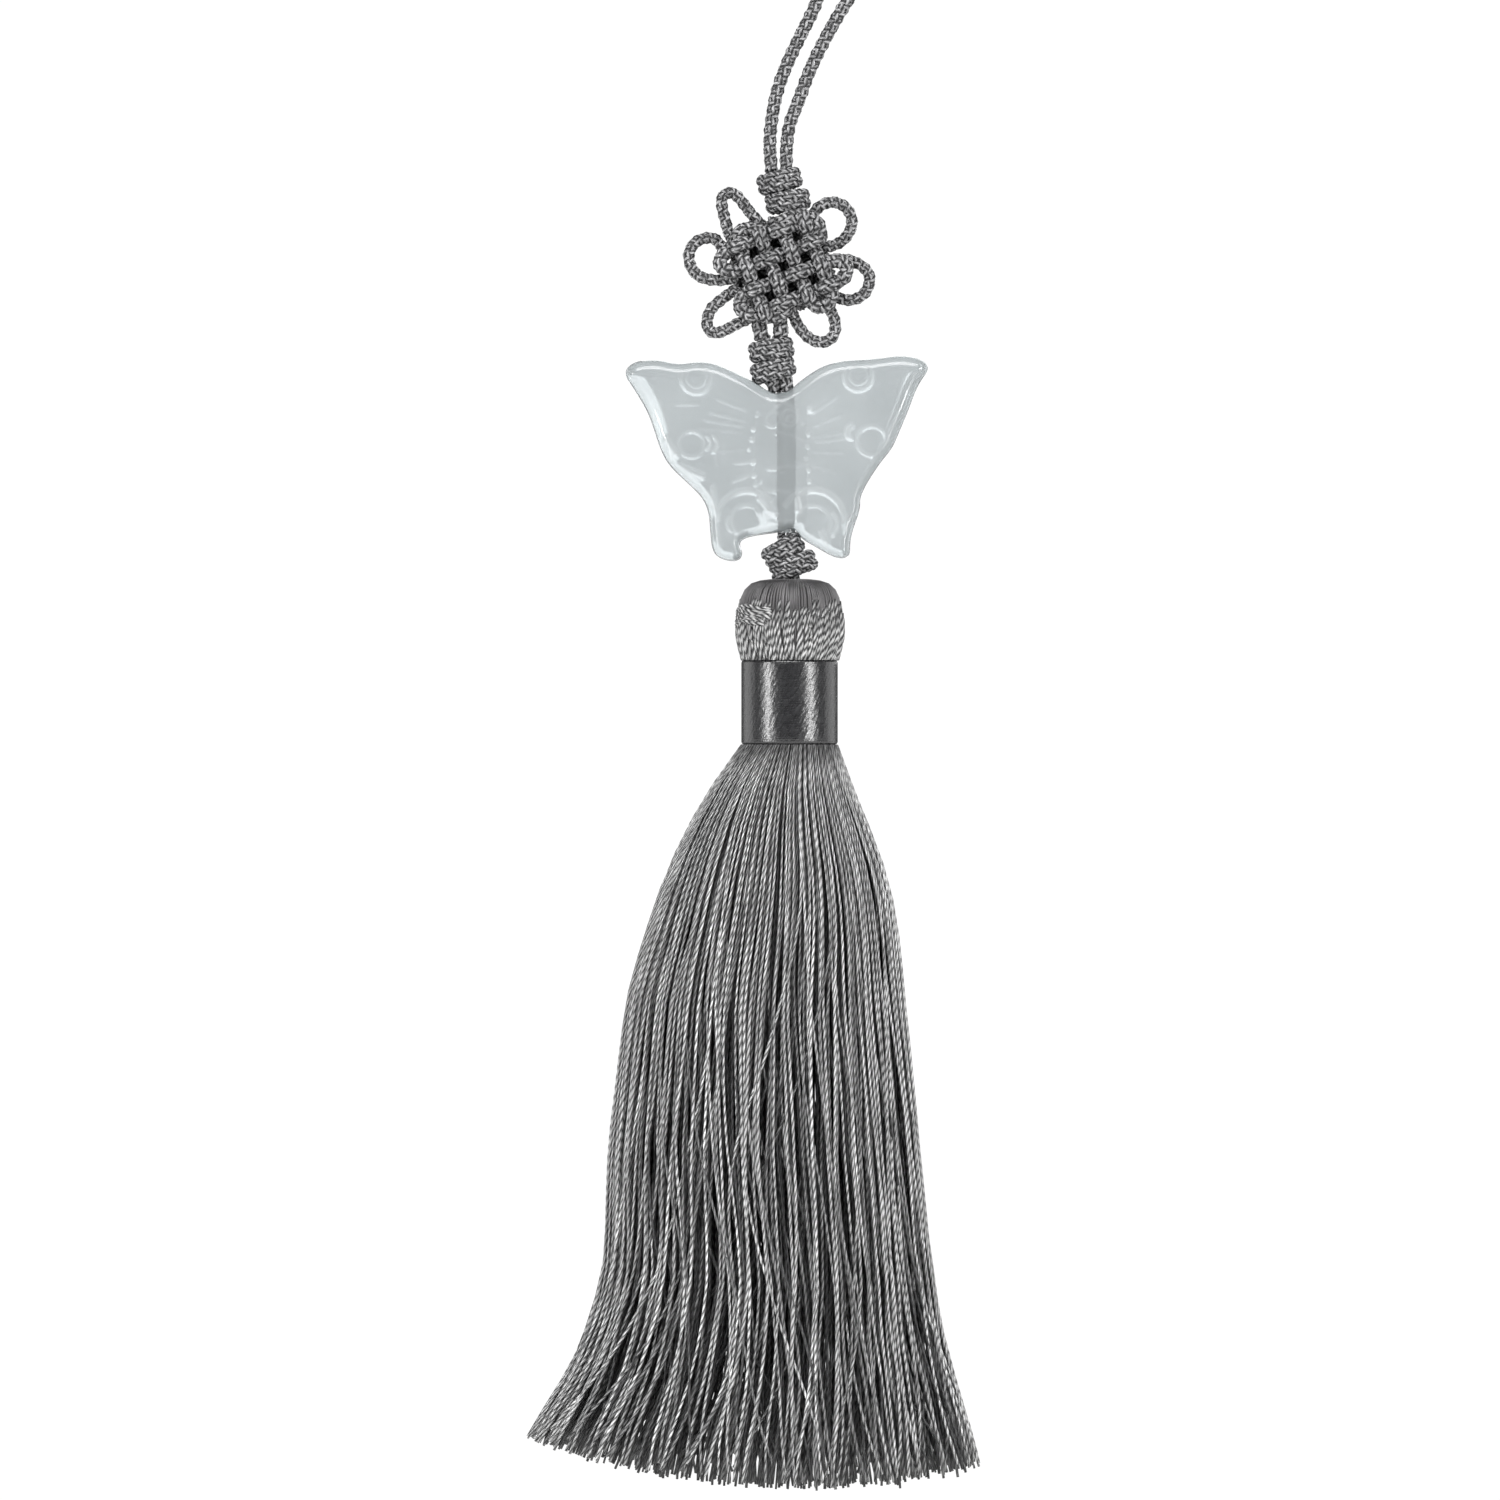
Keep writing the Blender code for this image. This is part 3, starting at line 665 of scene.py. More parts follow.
# Strand path: x = offset + u wide and y = v deep at each depth, u and v drifting slowly; a strand is then cut
# to its own length
def strandPaths(reach, angle, length, drift, pulled):
    count = len(reach)
    depth = np.linspace(0, skirt["length"] * wander["overrun"], wander["traceSteps"])
    rows = np.array(skirt["shape"])
    offset, wide, deep = (np.interp(depth, rows[:, 0], rows[:, i]) for i in (1, 2, 3))
    kernel = np.ones(wander["evened"]) / wander["evened"]
    margin = wander["evened"] // 2
    wide, deep = (np.pad(half, margin, mode="reflect", reflect_type="odd") for half in (wide, deep))
    wide, deep = (np.convolve(half, kernel, "valid") for half in (wide, deep))
    share = depth / skirt["length"]
    amounts = rng.normal(0, 1, (5, count, 1))
    phases = rng.uniform(0, 2 * np.pi, (5, count, 1))
    start = rng.uniform(*wander["leanStart"], (count, 1))

    def wave(name, i):
        size, radians = wander[name]
        return size * amounts[i] * np.sin(radians * share + phases[i])

    lean = wander["lean"] * np.clip(share - start, 0, None) ** wander["leanPower"]
    swing = amounts[0] * lean + share * (wave("swing", 1) + wave("ripple", 4))
    swell = share * (wave("swell", 2) + wave("smallSwell", 3))
    turned = angle[:, None] + pulled[:, None] * share ** wander["pullPower"]
    turned = turned + drift * swing / np.maximum(reach[:, None], wander["leastReach"])
    out = np.clip(reach[:, None] + wander["inward"] * drift * swell, 0.0, 1.0)
    x = offset + out * np.cos(turned) * wide
    y = out * np.sin(turned) * deep
    points = np.stack([x, y, np.broadcast_to(depth, x.shape)], -1)
    run = np.zeros(x.shape)
    run[:, 1:] = np.cumsum(np.linalg.norm(np.diff(points, axis=1), axis=2), axis=1)
    at = np.linspace(0, 1, skirt["steps"]) ** skirt["stepPower"]
    want = np.minimum(length[:, None] * at, run[:, -1:])
    # Each strand's run is set above the one before, so that one look-up serves all
    rise = np.arange(count)[:, None] * (run.max() + 10)
    wanted, runs = (want + rise).ravel(), (run + rise).ravel()
    x, y, below = (np.interp(wanted, runs, points[..., i].ravel()).reshape(want.shape) for i in range(3))
    return place(x, skirt["bandBottom"] - below, y)


# Strands gather into clumps: a strand's angle moves towards its clump's middle by its own share of the pull
def skirtPiece(name, layers, replaced):
    counts = [row[0] for row in layers]
    count = sum(counts)
    least, greatest, tone = (np.repeat([row[i] for row in layers], counts) for i in (1, 2, 3))
    reach = np.sqrt(rng.uniform(least**2, greatest**2))
    uneven = skirt["spacing"]
    angle = 2 * np.pi * np.concatenate([(np.arange(n) + rng.uniform(-uneven, uneven, n)) / n for n in counts])
    middles = np.sort(rng.uniform(0, 2 * np.pi, skirt["clumps"]))
    gap = (middles[None] - angle[:, None] + np.pi) % (2 * np.pi) - np.pi
    nearest = np.take_along_axis(gap, np.abs(gap).argmin(1)[:, None], 1)[:, 0]
    pulled = nearest * rng.uniform(*skirt["pullRange"], count) * skirt["pull"]
    length = skirt["length"] + rng.normal(0, skirt["unevenHem"], count) - skirt["shorter"]
    length = length - skirt["outerShorter"] * tone
    isStray = rng.uniform(size=count) < skirt["strays"]
    drift = skirt["drift"] * np.where(isStray, skirt["strayDrift"], 1.0)[:, None]
    paths = strandPaths(reach, angle, length, drift, pulled)
    taper = np.interp(np.linspace(0, 1, skirt["steps"]), *np.array(skirt["taper"]).T)
    radius = skirt["radius"] * mm * taper[None] * rng.uniform(*skirt["radiusRange"], (count, 1))
    parts = tubes(paths, radius, radius, skirt["sides"], turn=rng.uniform(*skirt["turnRange"], count))
    # the strand's tone: its layer's painted shade times a random tone of its own
    tone = tone * rng.uniform(*skirt["toneRange"], count)
    return meshObject(name, parts, skirtSilk, replaced, tone)


skirtPiece("skirtOuter", skirt["layers"], ["tassel_skirt"])
skirtPiece("skirtInner", skirt["innerLayers"], [])

print("head and band")
head = {
    "centre": 0.7,
    "top": -120.4,
    "profile": (
        (0.8, 0.0), (4.5, 0.2), (6.3, 0.6), (7.5, 1.3), (8.4, 2.8), (8.75, 4.5), (9.05, 7.5), (9.08, 9.8),
        (8.6, 12.0), (8.1, 13.9),
    ),
    "outward": 0.3,
    "sinkFade": 1.6,
    "threads": 150,
    "threadSteps": 14,
    "threadSides": 4,
    "threadRadius": 0.24,
    "threadSunk": 0.34,
    "threadSpread": 0.01,
    # a sway is its amount and its radians along the yarn
    "threadSway": (0.02, 4),
    # two layers of yarns, with a value for each where there are two
    "yarns": 84,
    "yarnSteps": 12,
    "yarnSides": 5,
    "yarnRadius": 0.33,
    "yarnSunk": (0.26, 0.04),
    "yarnStart": (0.52, 0.62),
    "yarnUneven": (-0.05, 0.06),
    "yarnSpread": 0.012,
    "yarnSlant": (0.28, 0.53),
    "slantChange": 0.62,
    "yarnSway": (0.035, 9),
    "wraps": 7,
    "wrapSteps": 16,
    # in half turns from the right: where a wrap starts and how far it goes
    "wrapAngle": (1.04, 0.42),
    "wrapSpread": 0.05,
    "wrapShare": (0.55, 0.68),
    "wrapSway": (0.015, 9),
    "wrapSunk": (-0.12, 0.25),
    # the dome under the threads
    "coreTop": 0.3,
    "coreDown": 0.35,
    "coreIn": 0.42,
    "coreAround": 72,
}
# painted shade: a darker copy of the head's silk for the shaded top of the head and the dome under its
# threads
shadedHeadTopSilk = twistedSilk("shadedHeadTopSilk", {
    "dark": (0.020, 0.019, 0.020), "light": (0.20, 0.195, 0.20), "contrast": 0.5, "root": None,
    "sheen": 0.1, "gloss": 0.4, "roughness": 0.45, "bump": 0.00005,
    "plies": 2.0, "pitch": 6.0, "fibres": 3.0, "fibreTurn": 0.1, "toneScale": 500.0, "toneStretch": 0.3,
})
# painted shade: each yarn darkens where it comes out from under the threads (root)
headSilk = twistedSilk("headSilk", {
    "dark": (0.010, 0.010, 0.011), "light": (0.80, 0.80, 0.80), "contrast": 1.3, "root": (-0.5, 2.5),
    "sheen": 0.1, "gloss": 0.5, "roughness": 0.38, "bump": 0.00012,
    "plies": 2.0, "pitch": 1.5, "fibres": 5.0, "fibreTurn": 0.3, "toneScale": 700.0, "toneStretch": 0.6,
})


# A yarn on the dome: radius and depth read off the profile at its share, angle given, sunk by its own amount
def onHead(share, angle, sunk):
    rows = np.array(head["profile"])
    run = np.concatenate([[0], np.cumsum(np.linalg.norm(np.diff(rows, axis=0), axis=1))])
    radius = np.interp(share * run[-1], run, rows[:, 0]) - sunk
    depth = np.interp(share * run[-1], run, rows[:, 1])
    z = head["top"] - sunk * np.clip(1 - head["sinkFade"] * share, 0, 1) - depth
    paths = place(head["centre"] + radius * np.cos(angle), z + 0 * angle, radius * np.sin(angle))
    out = np.stack([np.cos(angle), np.sin(angle), head["outward"] + 0 * angle], -1)
    return paths, out


# Under-threads run from the crown to the band
def headThreads():
    count = head["threads"]
    share = np.linspace(0, 1, head["threadSteps"])
    start = np.arange(count) * 2 * np.pi / count + rng.normal(0, head["threadSpread"], count)
    sway, turns = head["threadSway"]
    angle = start[:, None] + rng.normal(0, sway, (count, 1)) * np.sin(share * turns)
    paths, out = onHead(share, angle, head["threadSunk"])
    thin = head["threadRadius"] * mm
    parts = tubes(paths, thin, thin, head["threadSides"], out)
    meshObject("headThreads", parts, shadedHeadTopSilk, ["tassel_head"])


# One layer of yarns: they slant more and more from the left of the front (angle -pi) to its right (angle 0)
def yarnLayer(layer):
    count = head["yarns"]
    start = (np.arange(count) + 0.5 * layer) * 2 * np.pi / count + rng.normal(0, head["yarnSpread"], count)
    first = head["yarnStart"][layer] + rng.uniform(*head["yarnUneven"], (count, 1))
    share = first + (1 - first) * np.linspace(0, 1, head["yarnSteps"])
    slant = head["yarnSlant"][layer] - head["slantChange"] * (0.5 + 0.5 * np.cos(start))[:, None]
    sway, turns = head["yarnSway"]
    sway = rng.normal(0, sway, (count, 1)) * np.sin(share * turns + layer)
    return onHead(share, start[:, None] + slant * (share - first) + sway, head["yarnSunk"][layer])


# A few wavy turns round the upper left, their ends sunk into the yarns
def yarnWraps():
    count = head["wraps"]
    along = np.linspace(0, 1, head["wrapSteps"])
    first, far = head["wrapAngle"]
    angle = -np.pi * (first - far * along)[None] + rng.normal(0, head["wrapSpread"], (count, 1))
    sway, turns = head["wrapSway"]
    share = np.linspace(*head["wrapShare"], count)[:, None]
    share = share + sway * np.sin(along * turns + np.arange(count)[:, None])
    middle, ends = head["wrapSunk"]
    return onHead(share, angle, middle + ends * (2 * along - 1) ** 4)


def headYarns():
    thick = head["yarnRadius"] * mm
    found = [yarnLayer(0), yarnLayer(1), yarnWraps()]
    parts = [tubes(paths, thick, thick, head["yarnSides"], out) for paths, out in found]
    meshObject("headYarns", joinParts(parts), headSilk, [])


# Wound band: its sizes in millimetres, and its satin, whose flecks lie slanted on the winding and whose
# grooves between the turns are painted darker as shade
band = {
    "centre": 0.6,
    "top": -134.3,
    "bottom": -148.7,
    "radius": 8.2,
    "edge": 0.5,
    "shoulder": (0.13, 0.15),
    "wallRows": 8,
    "wallMargin": 1.5,
    "around": 96,
    "inner": 6.7,
    "threadPitch": 0.42,
    "fleckSlant": (1.5, 0.8, 0.9),
    "fleckScale": 0.95,
    "windingShade": 0.25,
    "fleckTone": 0.9,
    "toneDown": 0.1,
    "windingBump": 0.1,
    "dark": (0.002, 0.002, 0.003),
    "light": (0.022, 0.022, 0.024),
    "roughness": 0.205,
    "fleckRoughness": 0.13,
    "bump": 0.00009,
}


# A turned surface: x = centre + radius cos(angle), y = radius sin(angle); its map's u goes once round and v
# runs down it in millimetres
def turnedPiece(name, centre, rows, around, material, replaced):
    rows = np.array(rows)
    angle = 2 * np.pi * np.arange(around) / around
    x = centre + rows[:, :1] * np.cos(angle)
    y = rows[:, :1] * np.sin(angle)
    points = place(x, rows[:, 1:] + 0 * x, y).reshape(-1, 3)
    row = np.arange(len(rows) - 1)[:, None] * around
    col = np.arange(around)[None]
    nextCol = (col + 1) % around
    below = row + around
    quads = np.stack([row + nextCol, below + nextCol, below + col, row + col], -1).reshape(-1, 4)
    run = np.concatenate([[0], np.cumsum(np.linalg.norm(np.diff(rows, axis=0), axis=1))])
    u = np.broadcast_to(np.stack([col, col, col + 1, col + 1], -1) / around, (len(rows) - 1, around, 4))
    v = np.stack([run[:-1], run[1:], run[1:], run[:-1]], -1)[:, None].repeat(around, 1)
    maps = np.stack([u, v], -1)[..., ::-1, :].reshape(-1, 2)
    empty = np.zeros((0, 3), int)
    return meshObject(name, (points, quads, maps, empty, np.zeros((0, 2))), material, replaced)


def bandSilk():
    made, shader, _, uv = newMaterial("bandSilk", Specular_IOR_Level=1.0)
    around, along, _ = uv.split()
    winding = (along / band["threadPitch"] + around).wave()
    roundAlong = around * 2 * math.pi * band["radius"]
    across, lean, down = band["fleckSlant"]
    sockets = {"X": roundAlong * across + along * lean, "Y": along * down, "Z": 0.0}
    fleck = uv.out("ShaderNodeCombineXYZ", **sockets).noise(band["fleckScale"], 2.0, 0.6)
    # painted shade: darker in the grooves between the turns of the winding; the flecks are the satin's own
    # random tone
    tone = (band["windingShade"] * winding + band["fleckTone"] * fleck - band["toneDown"]).clamp()
    connect(shader, "Base Color", tone.colour(band["dark"], band["light"]))
    connect(shader, "Roughness", band["roughness"] + band["fleckRoughness"] * fleck)
    bump(shader, winding * band["windingBump"] + fleck, band["bump"])
    return made


# The band's section goes once round: out over the upper shoulder, down the wall and back under the lower one
def tasselBand():
    low, high, outer, inner, edge = (band[key] for key in ("bottom", "top", "radius", "inner", "edge"))
    inward, down = band["shoulder"]
    rows = [(inner, high), (outer - edge, high), (outer - inward, high - down), (outer, high - edge)]
    margin = band["wallMargin"]
    rows += [(outer, z) for z in np.linspace(high - margin, low + margin, band["wallRows"])]
    rows += [(outer, low + edge), (outer - inward, low + down), (outer - edge, low)]
    rows += [(inner, low), (inner, high)]
    turnedPiece("tasselBand", band["centre"], rows, band["around"], bandSilk(), ["tassel_band"])


# The dome under the head's threads, closed at the crown, in the darker silk painted as shade
def headCore():
    inward, down = head["coreIn"], head["coreDown"]
    rows = [(0.01, head["top"] - head["coreTop"])]
    rows += [(radius - inward, head["top"] - down - depth) for radius, depth in head["profile"]]
    turnedPiece("headCore", head["centre"], rows, head["coreAround"], shadedHeadTopSilk, [])


tasselBand()
headThreads()
headYarns()
headCore()

print("bead")
bead = {
    "outline": (
        (-2.0, -89.2), (0.85, -88.4), (2.2, -87.0), (5.8, -84.5), (9.4, -83.3), (14.8, -83.1),
        (19.4, -82.4), (23.0, -83.0), (24.6, -84.5), (22.3, -87.7), (20.9, -91.6), (19.0, -96.1),
        (18.0, -98.4), (15.8, -101.0), (12.6, -106.1), (12.6, -108.8), (11.6, -111.4), (10.9, -113.9),
        (10.9, -116.5), (9.9, -117.1), (8.0, -116.8), (5.1, -115.1), (2.6, -113.7), (1.5, -111.9),
        (-1.4, -112.7), (-4.9, -113.1), (-7.0, -113.6), (-8.0, -114.4), (-7.3, -116.1), (-7.8, -117.3),
        (-9.2, -117.6), (-11.4, -117.0), (-12.6, -115.6), (-12.9, -112.0),
        (-13.1, -109.3), (-14.1, -106.8), (-16.3, -104.6), (-19.9, -101.3), (-21.4, -98.4), (-22.4, -95.2),
        (-23.5, -92.1), (-25.7, -88.4), (-27.7, -85.5), (-26.0, -83.6), (-22.1, -83.1), (-18.5, -84.0),
        (-15.0, -83.5), (-12.1, -83.8), (-7.8, -85.7), (-4.3, -87.7),
    ),
    "thickness": 5.5,
    "grid": 0.20,
    "rim": 0.7,
    "rimRows": 5,
    "bevel": ((-101.0, 1.5), (-96.0, 2.7)),
    "bevelPower": 2.3,
    "cornerPasses": 3,
    "softPasses": 6,
    "softRim": 0.4,
    "reliefFade": 0.8,
    # middle, half width, top, bottom, height, length of the ends
    "body": (-0.9, 4.4, -91.0, -112.0, 0.55, 3.0),
    # share of the drawn height that rings, arcs, lines and dots have
    "relief": {"rings": 0.18, "arcs": 0.30, "lines": 0.12, "dots": 0.30},
    # x, z, radius, line width, height
    "rings": (
        (-15.2, -86.4, 2.5, 0.34, 0.28), (-15.2, -86.4, 1.6, 0.26, 0.18),
        (12.3, -86.0, 2.4, 0.34, 0.30), (12.3, -86.0, 1.5, 0.26, 0.20),
        (-16.0, -97.6, 2.2, 0.34, 0.26), (14.6, -97.0, 2.5, 0.34, 0.30),
        (-6.6, -110.6, 2.6, 0.36, 0.28), (4.6, -111.0, 3.0, 0.36, 0.28),
        (0.55, -93.3, 1.35, 0.34, 0.34), (0.75, -93.5, 0.65, 0.28, 0.30),
        (-2.2, -93.5, 1.1, 0.30, 0.24),
    ),
    # x, z, radius, first and last angle in degrees, line width, height
    "arcs": (
        (-6.6, -110.6, 5.1, 40.0, 178.0, 0.42, 0.45), (4.6, -110.8, 5.4, -6.0, 150.0, 0.42, 0.45),
        (-13.9, -97.4, 1.1, -70.0, 70.0, 0.30, 0.26), (-13.1, -97.6, 1.5, -60.0, 60.0, 0.30, 0.26),
        (11.6, -95.6, 1.4, 120.0, 230.0, 0.28, 0.26), (12.1, -95.7, 1.3, 120.0, 230.0, 0.28, 0.26),
        (-8.3, -111.0, 1.6, 140.0, 230.0, 0.30, 0.26), (6.3, -111.2, 2.4, -50.0, 50.0, 0.34, 0.32),
    ),
    # x and z of both ends, line width, height
    "lines": (
        (-3.2, -89.2, 1.8, -91.8, 0.34, 0.34), (1.9, -88.6, -2.6, -92.4, 0.34, 0.34),
        (-1.6, -95.7, 1.0, -96.3, 0.34, 0.32), (1.0, -96.3, 3.3, -97.2, 0.34, 0.28),
        (-3.0, -101.8, 0.6, -101.6, 0.40, 0.36), (0.6, -101.6, 3.6, -101.2, 0.40, 0.32),
        (-3.6, -105.4, 0.6, -105.9, 0.42, 0.38), (0.6, -105.9, 4.4, -105.2, 0.42, 0.38),
        (-1.4, -110.8, 1.6, -111.0, 0.50, 0.36),
        (-6.9, -93.8, -12.7, -92.3, 0.26, 0.16), (-7.2, -94.6, -13.8, -93.5, 0.26, 0.16),
        (-7.4, -95.6, -14.6, -95.0, 0.26, 0.14), (-6.8, -91.9, -11.6, -90.0, 0.26, 0.14),
        (-15.0, -90.8, -18.6, -90.9, 0.30, 0.14), (-7.2, -98.6, -12.6, -99.0, 0.26, 0.14),
        (-6.4, -102.9, -9.0, -103.9, 0.34, 0.30), (-6.3, -100.6, -8.6, -100.8, 0.30, 0.26),
        (-12.0, -99.0, -11.7, -101.2, 0.30, 0.22),
        (4.6, -96.6, 9.6, -95.8, 0.26, 0.18), (5.0, -97.2, 9.8, -96.7, 0.26, 0.18),
        (4.7, -98.9, 9.6, -99.1, 0.26, 0.18), (4.9, -94.6, 9.2, -92.8, 0.26, 0.14),
        (4.6, -92.4, 8.6, -89.6, 0.26, 0.14), (4.5, -101.2, 8.4, -102.6, 0.26, 0.16),
        (-18.0, -101.4, -14.2, -103.0, 0.50, 1.3), (-12.3, -105.2, -11.7, -114.8, 0.45, 1.1),
        (-4.0, -106.6, -2.0, -109.4, 0.60, 1.3), (1.8, -106.9, 2.2, -108.9, 0.50, 1.3),
        (6.2, -112.8, 6.8, -114.2, 0.50, 1.2), (10.1, -111.0, 10.2, -112.6, 0.45, 1.2),
        (-20.3, -97.2, -18.6, -99.2, 0.60, 1.2), (19.2, -92.5, 16.6, -98.6, 0.40, 1.1),
    ),
    # x, z, radius, height
    "dots": (
        (-4.7, -92.6, 0.34, 0.34), (-5.5, -95.0, 0.36, 0.36), (-5.7, -96.8, 0.36, 0.36),
        (-6.2, -98.4, 0.32, 0.34), (-5.5, -100.6, 0.42, 0.40), (-5.4, -102.9, 0.38, 0.38),
        (-5.2, -104.6, 0.38, 0.38), (-4.2, -104.0, 0.30, 0.30), (2.9, -94.4, 0.32, 0.34),
        (3.8, -95.9, 0.34, 0.34), (3.6, -98.0, 0.34, 0.34), (3.4, -100.2, 0.34, 0.34),
        (3.8, -102.0, 0.34, 0.34), (4.0, -103.9, 0.34, 0.34), (4.2, -91.7, 0.50, 0.36),
        (-2.3, -111.1, 0.75, 0.5), (2.0, -108.9, 0.6, 0.4),
    ),
    "bore": {"x": 0.1, "top": -88.9, "bottom": -112.7, "radius": 1.45, "around": 24, "levels": 12},
    "clear": (0.375, 0.405, 0.415),
    "cloudAndRidgeLight": (0.53, 0.565, 0.575),
    "cloudScale": 90.0,
    "cloud": 0.75,
    "raised": 0.3,
    "raisedHeight": 0.06,
    "roughness": 0.08,
    "cloudRoughness": 0.06,
    "raisedRoughness": 0.12,
}


# The outline with its corners cut: each pass cuts them at the quarter points of the sides
def roundedOutline(points, passes):
    for _ in range(passes):
        ahead = np.roll(points, -1, 0)
        points = np.stack([0.75 * points + 0.25 * ahead, 0.25 * points + 0.75 * ahead], 1).reshape(-1, 2)
    return points


placesAtOnce = 4000


# Distance to the nearest side of the outline, positive inside, and that side's nearest point
def outlineDistance(places, outline):
    sides = np.roll(outline, -1, 0) - outline
    found = []
    for some in np.array_split(places, max(1, len(places) // placesAtOnce)):
        away = some[:, None] - outline[None]
        share = np.clip((away * sides).sum(2) / (sides**2).sum(1), 0, 1)
        foot = outline[None] + share[..., None] * sides
        gap = np.linalg.norm(some[:, None] - foot, axis=2)
        best = gap.argmin(1)
        row = np.arange(len(some))
        low, high = outline[None, :, 1], (outline + sides)[None, :, 1]
        z = some[:, 1:]
        crossed = (low > z) != (high > z)
        at = outline[None, :, 0] + (z - low) / np.where(high == low, 1e-9, high - low) * sides[None, :, 0]
        inside = (crossed & (some[:, :1] < at)).sum(1) % 2 == 1
        found.append(np.column_stack([gap[row, best] * np.where(inside, 1, -1), foot[row, best]]))
    found = np.concatenate(found)
    return found[:, 0], found[:, 1:]


# A round-topped ridge: height times the bell of the distance over the line's width, e to the minus its square
def ridge(distance, width, height):
    return height * np.exp(-((distance / width) ** 2))


# Relief of the wings: the highest of the ridges along rings, arcs, straight veins and dots. The body's swell
# is its height times 1 - (distance from its middle / half width) squared, falling to nothing at both ends.
def beadRelief(x, z):
    relief = np.zeros(x.shape)
    share = bead["relief"]
    for cx, cz, radius, width, height in bead["rings"]:
        away = np.hypot(x - cx, z - cz) - radius
        relief = np.maximum(relief, ridge(away, width, share["rings"] * height))
    for cx, cz, radius, first, last, width, height in bead["arcs"]:
        middle, half = math.radians((first + last) / 2), math.radians((last - first) / 2)
        turned = np.arctan2(z - cz, x - cx) - middle
        turned = (turned + np.pi) % (2 * np.pi) - np.pi
        past = np.maximum(np.abs(turned) - half, 0) * radius
        away = np.hypot(np.hypot(x - cx, z - cz) - radius, past)
        relief = np.maximum(relief, ridge(away, width, share["arcs"] * height))
    for x0, z0, x1, z1, width, height in bead["lines"]:
        dx, dz = x1 - x0, z1 - z0
        along = np.clip(((x - x0) * dx + (z - z0) * dz) / (dx**2 + dz**2), 0, 1)
        away = np.hypot(x - x0 - along * dx, z - z0 - along * dz)
        relief = np.maximum(relief, ridge(away, width, share["lines"] * height))
    for cx, cz, radius, height in bead["dots"]:
        away = np.hypot(x - cx, z - cz)
        relief = np.maximum(relief, ridge(away, radius, share["dots"] * height))
    middle, half, top, bottom, height, end = bead["body"]
    across = np.clip(1 - ((x - middle) / half) ** 2, 0, 1)
    ends = np.clip((top - z) / end, 0, 1) * np.clip((z - bottom) / end, 0, 1)
    return relief, height * across * ends


# Bead section: half thickness times (1 - (1 - d / bevel)^p)^(1/p) at distance d from the outline.
# The bevel is broad on the upper wings and narrow on the lower ones.
def beadSection(distance, z):
    (lowZ, narrow), (highZ, broad) = bead["bevel"]
    share = np.clip(distance / np.interp(z, (lowZ, highZ), (narrow, broad)), 0, 1)
    power = bead["bevelPower"]
    return bead["thickness"] / 2 * (1 - (1 - share) ** power) ** (1 / power)


# Each pass moves a value half way to the mean of its four neighbours, but for those that are kept
def softened(values, keep, passes):
    for _ in range(passes):
        near = sum(np.roll(values, step, axis) for axis in (0, 1) for step in (1, -1)) / 4
        values = np.where(keep, values, 0.5 * (values + near))
    return values


# Wall of the bore: a straight tube, x = middle + radius cos(angle), y = radius sin(angle), facing its axis
def boreWall():
    bore = bead["bore"]
    around, levels = bore["around"], bore["levels"]
    angle = np.linspace(0, 2 * np.pi, around, endpoint=False)[None]
    level = np.linspace(bore["top"], bore["bottom"], levels)[:, None]
    x = bore["x"] + bore["radius"] * np.cos(angle) + 0 * level
    tube = place(x, level + 0 * angle, bore["radius"] * np.sin(angle) + 0 * level)
    row = (np.arange(levels - 1) * around)[:, None]
    col = np.arange(around)[None]
    nextCol = (col + 1) % around
    walls = np.stack([row + around + col, row + around + nextCol, row + nextCol, row + col], -1)
    return tube.reshape(-1, 3), walls.reshape(-1, 4)


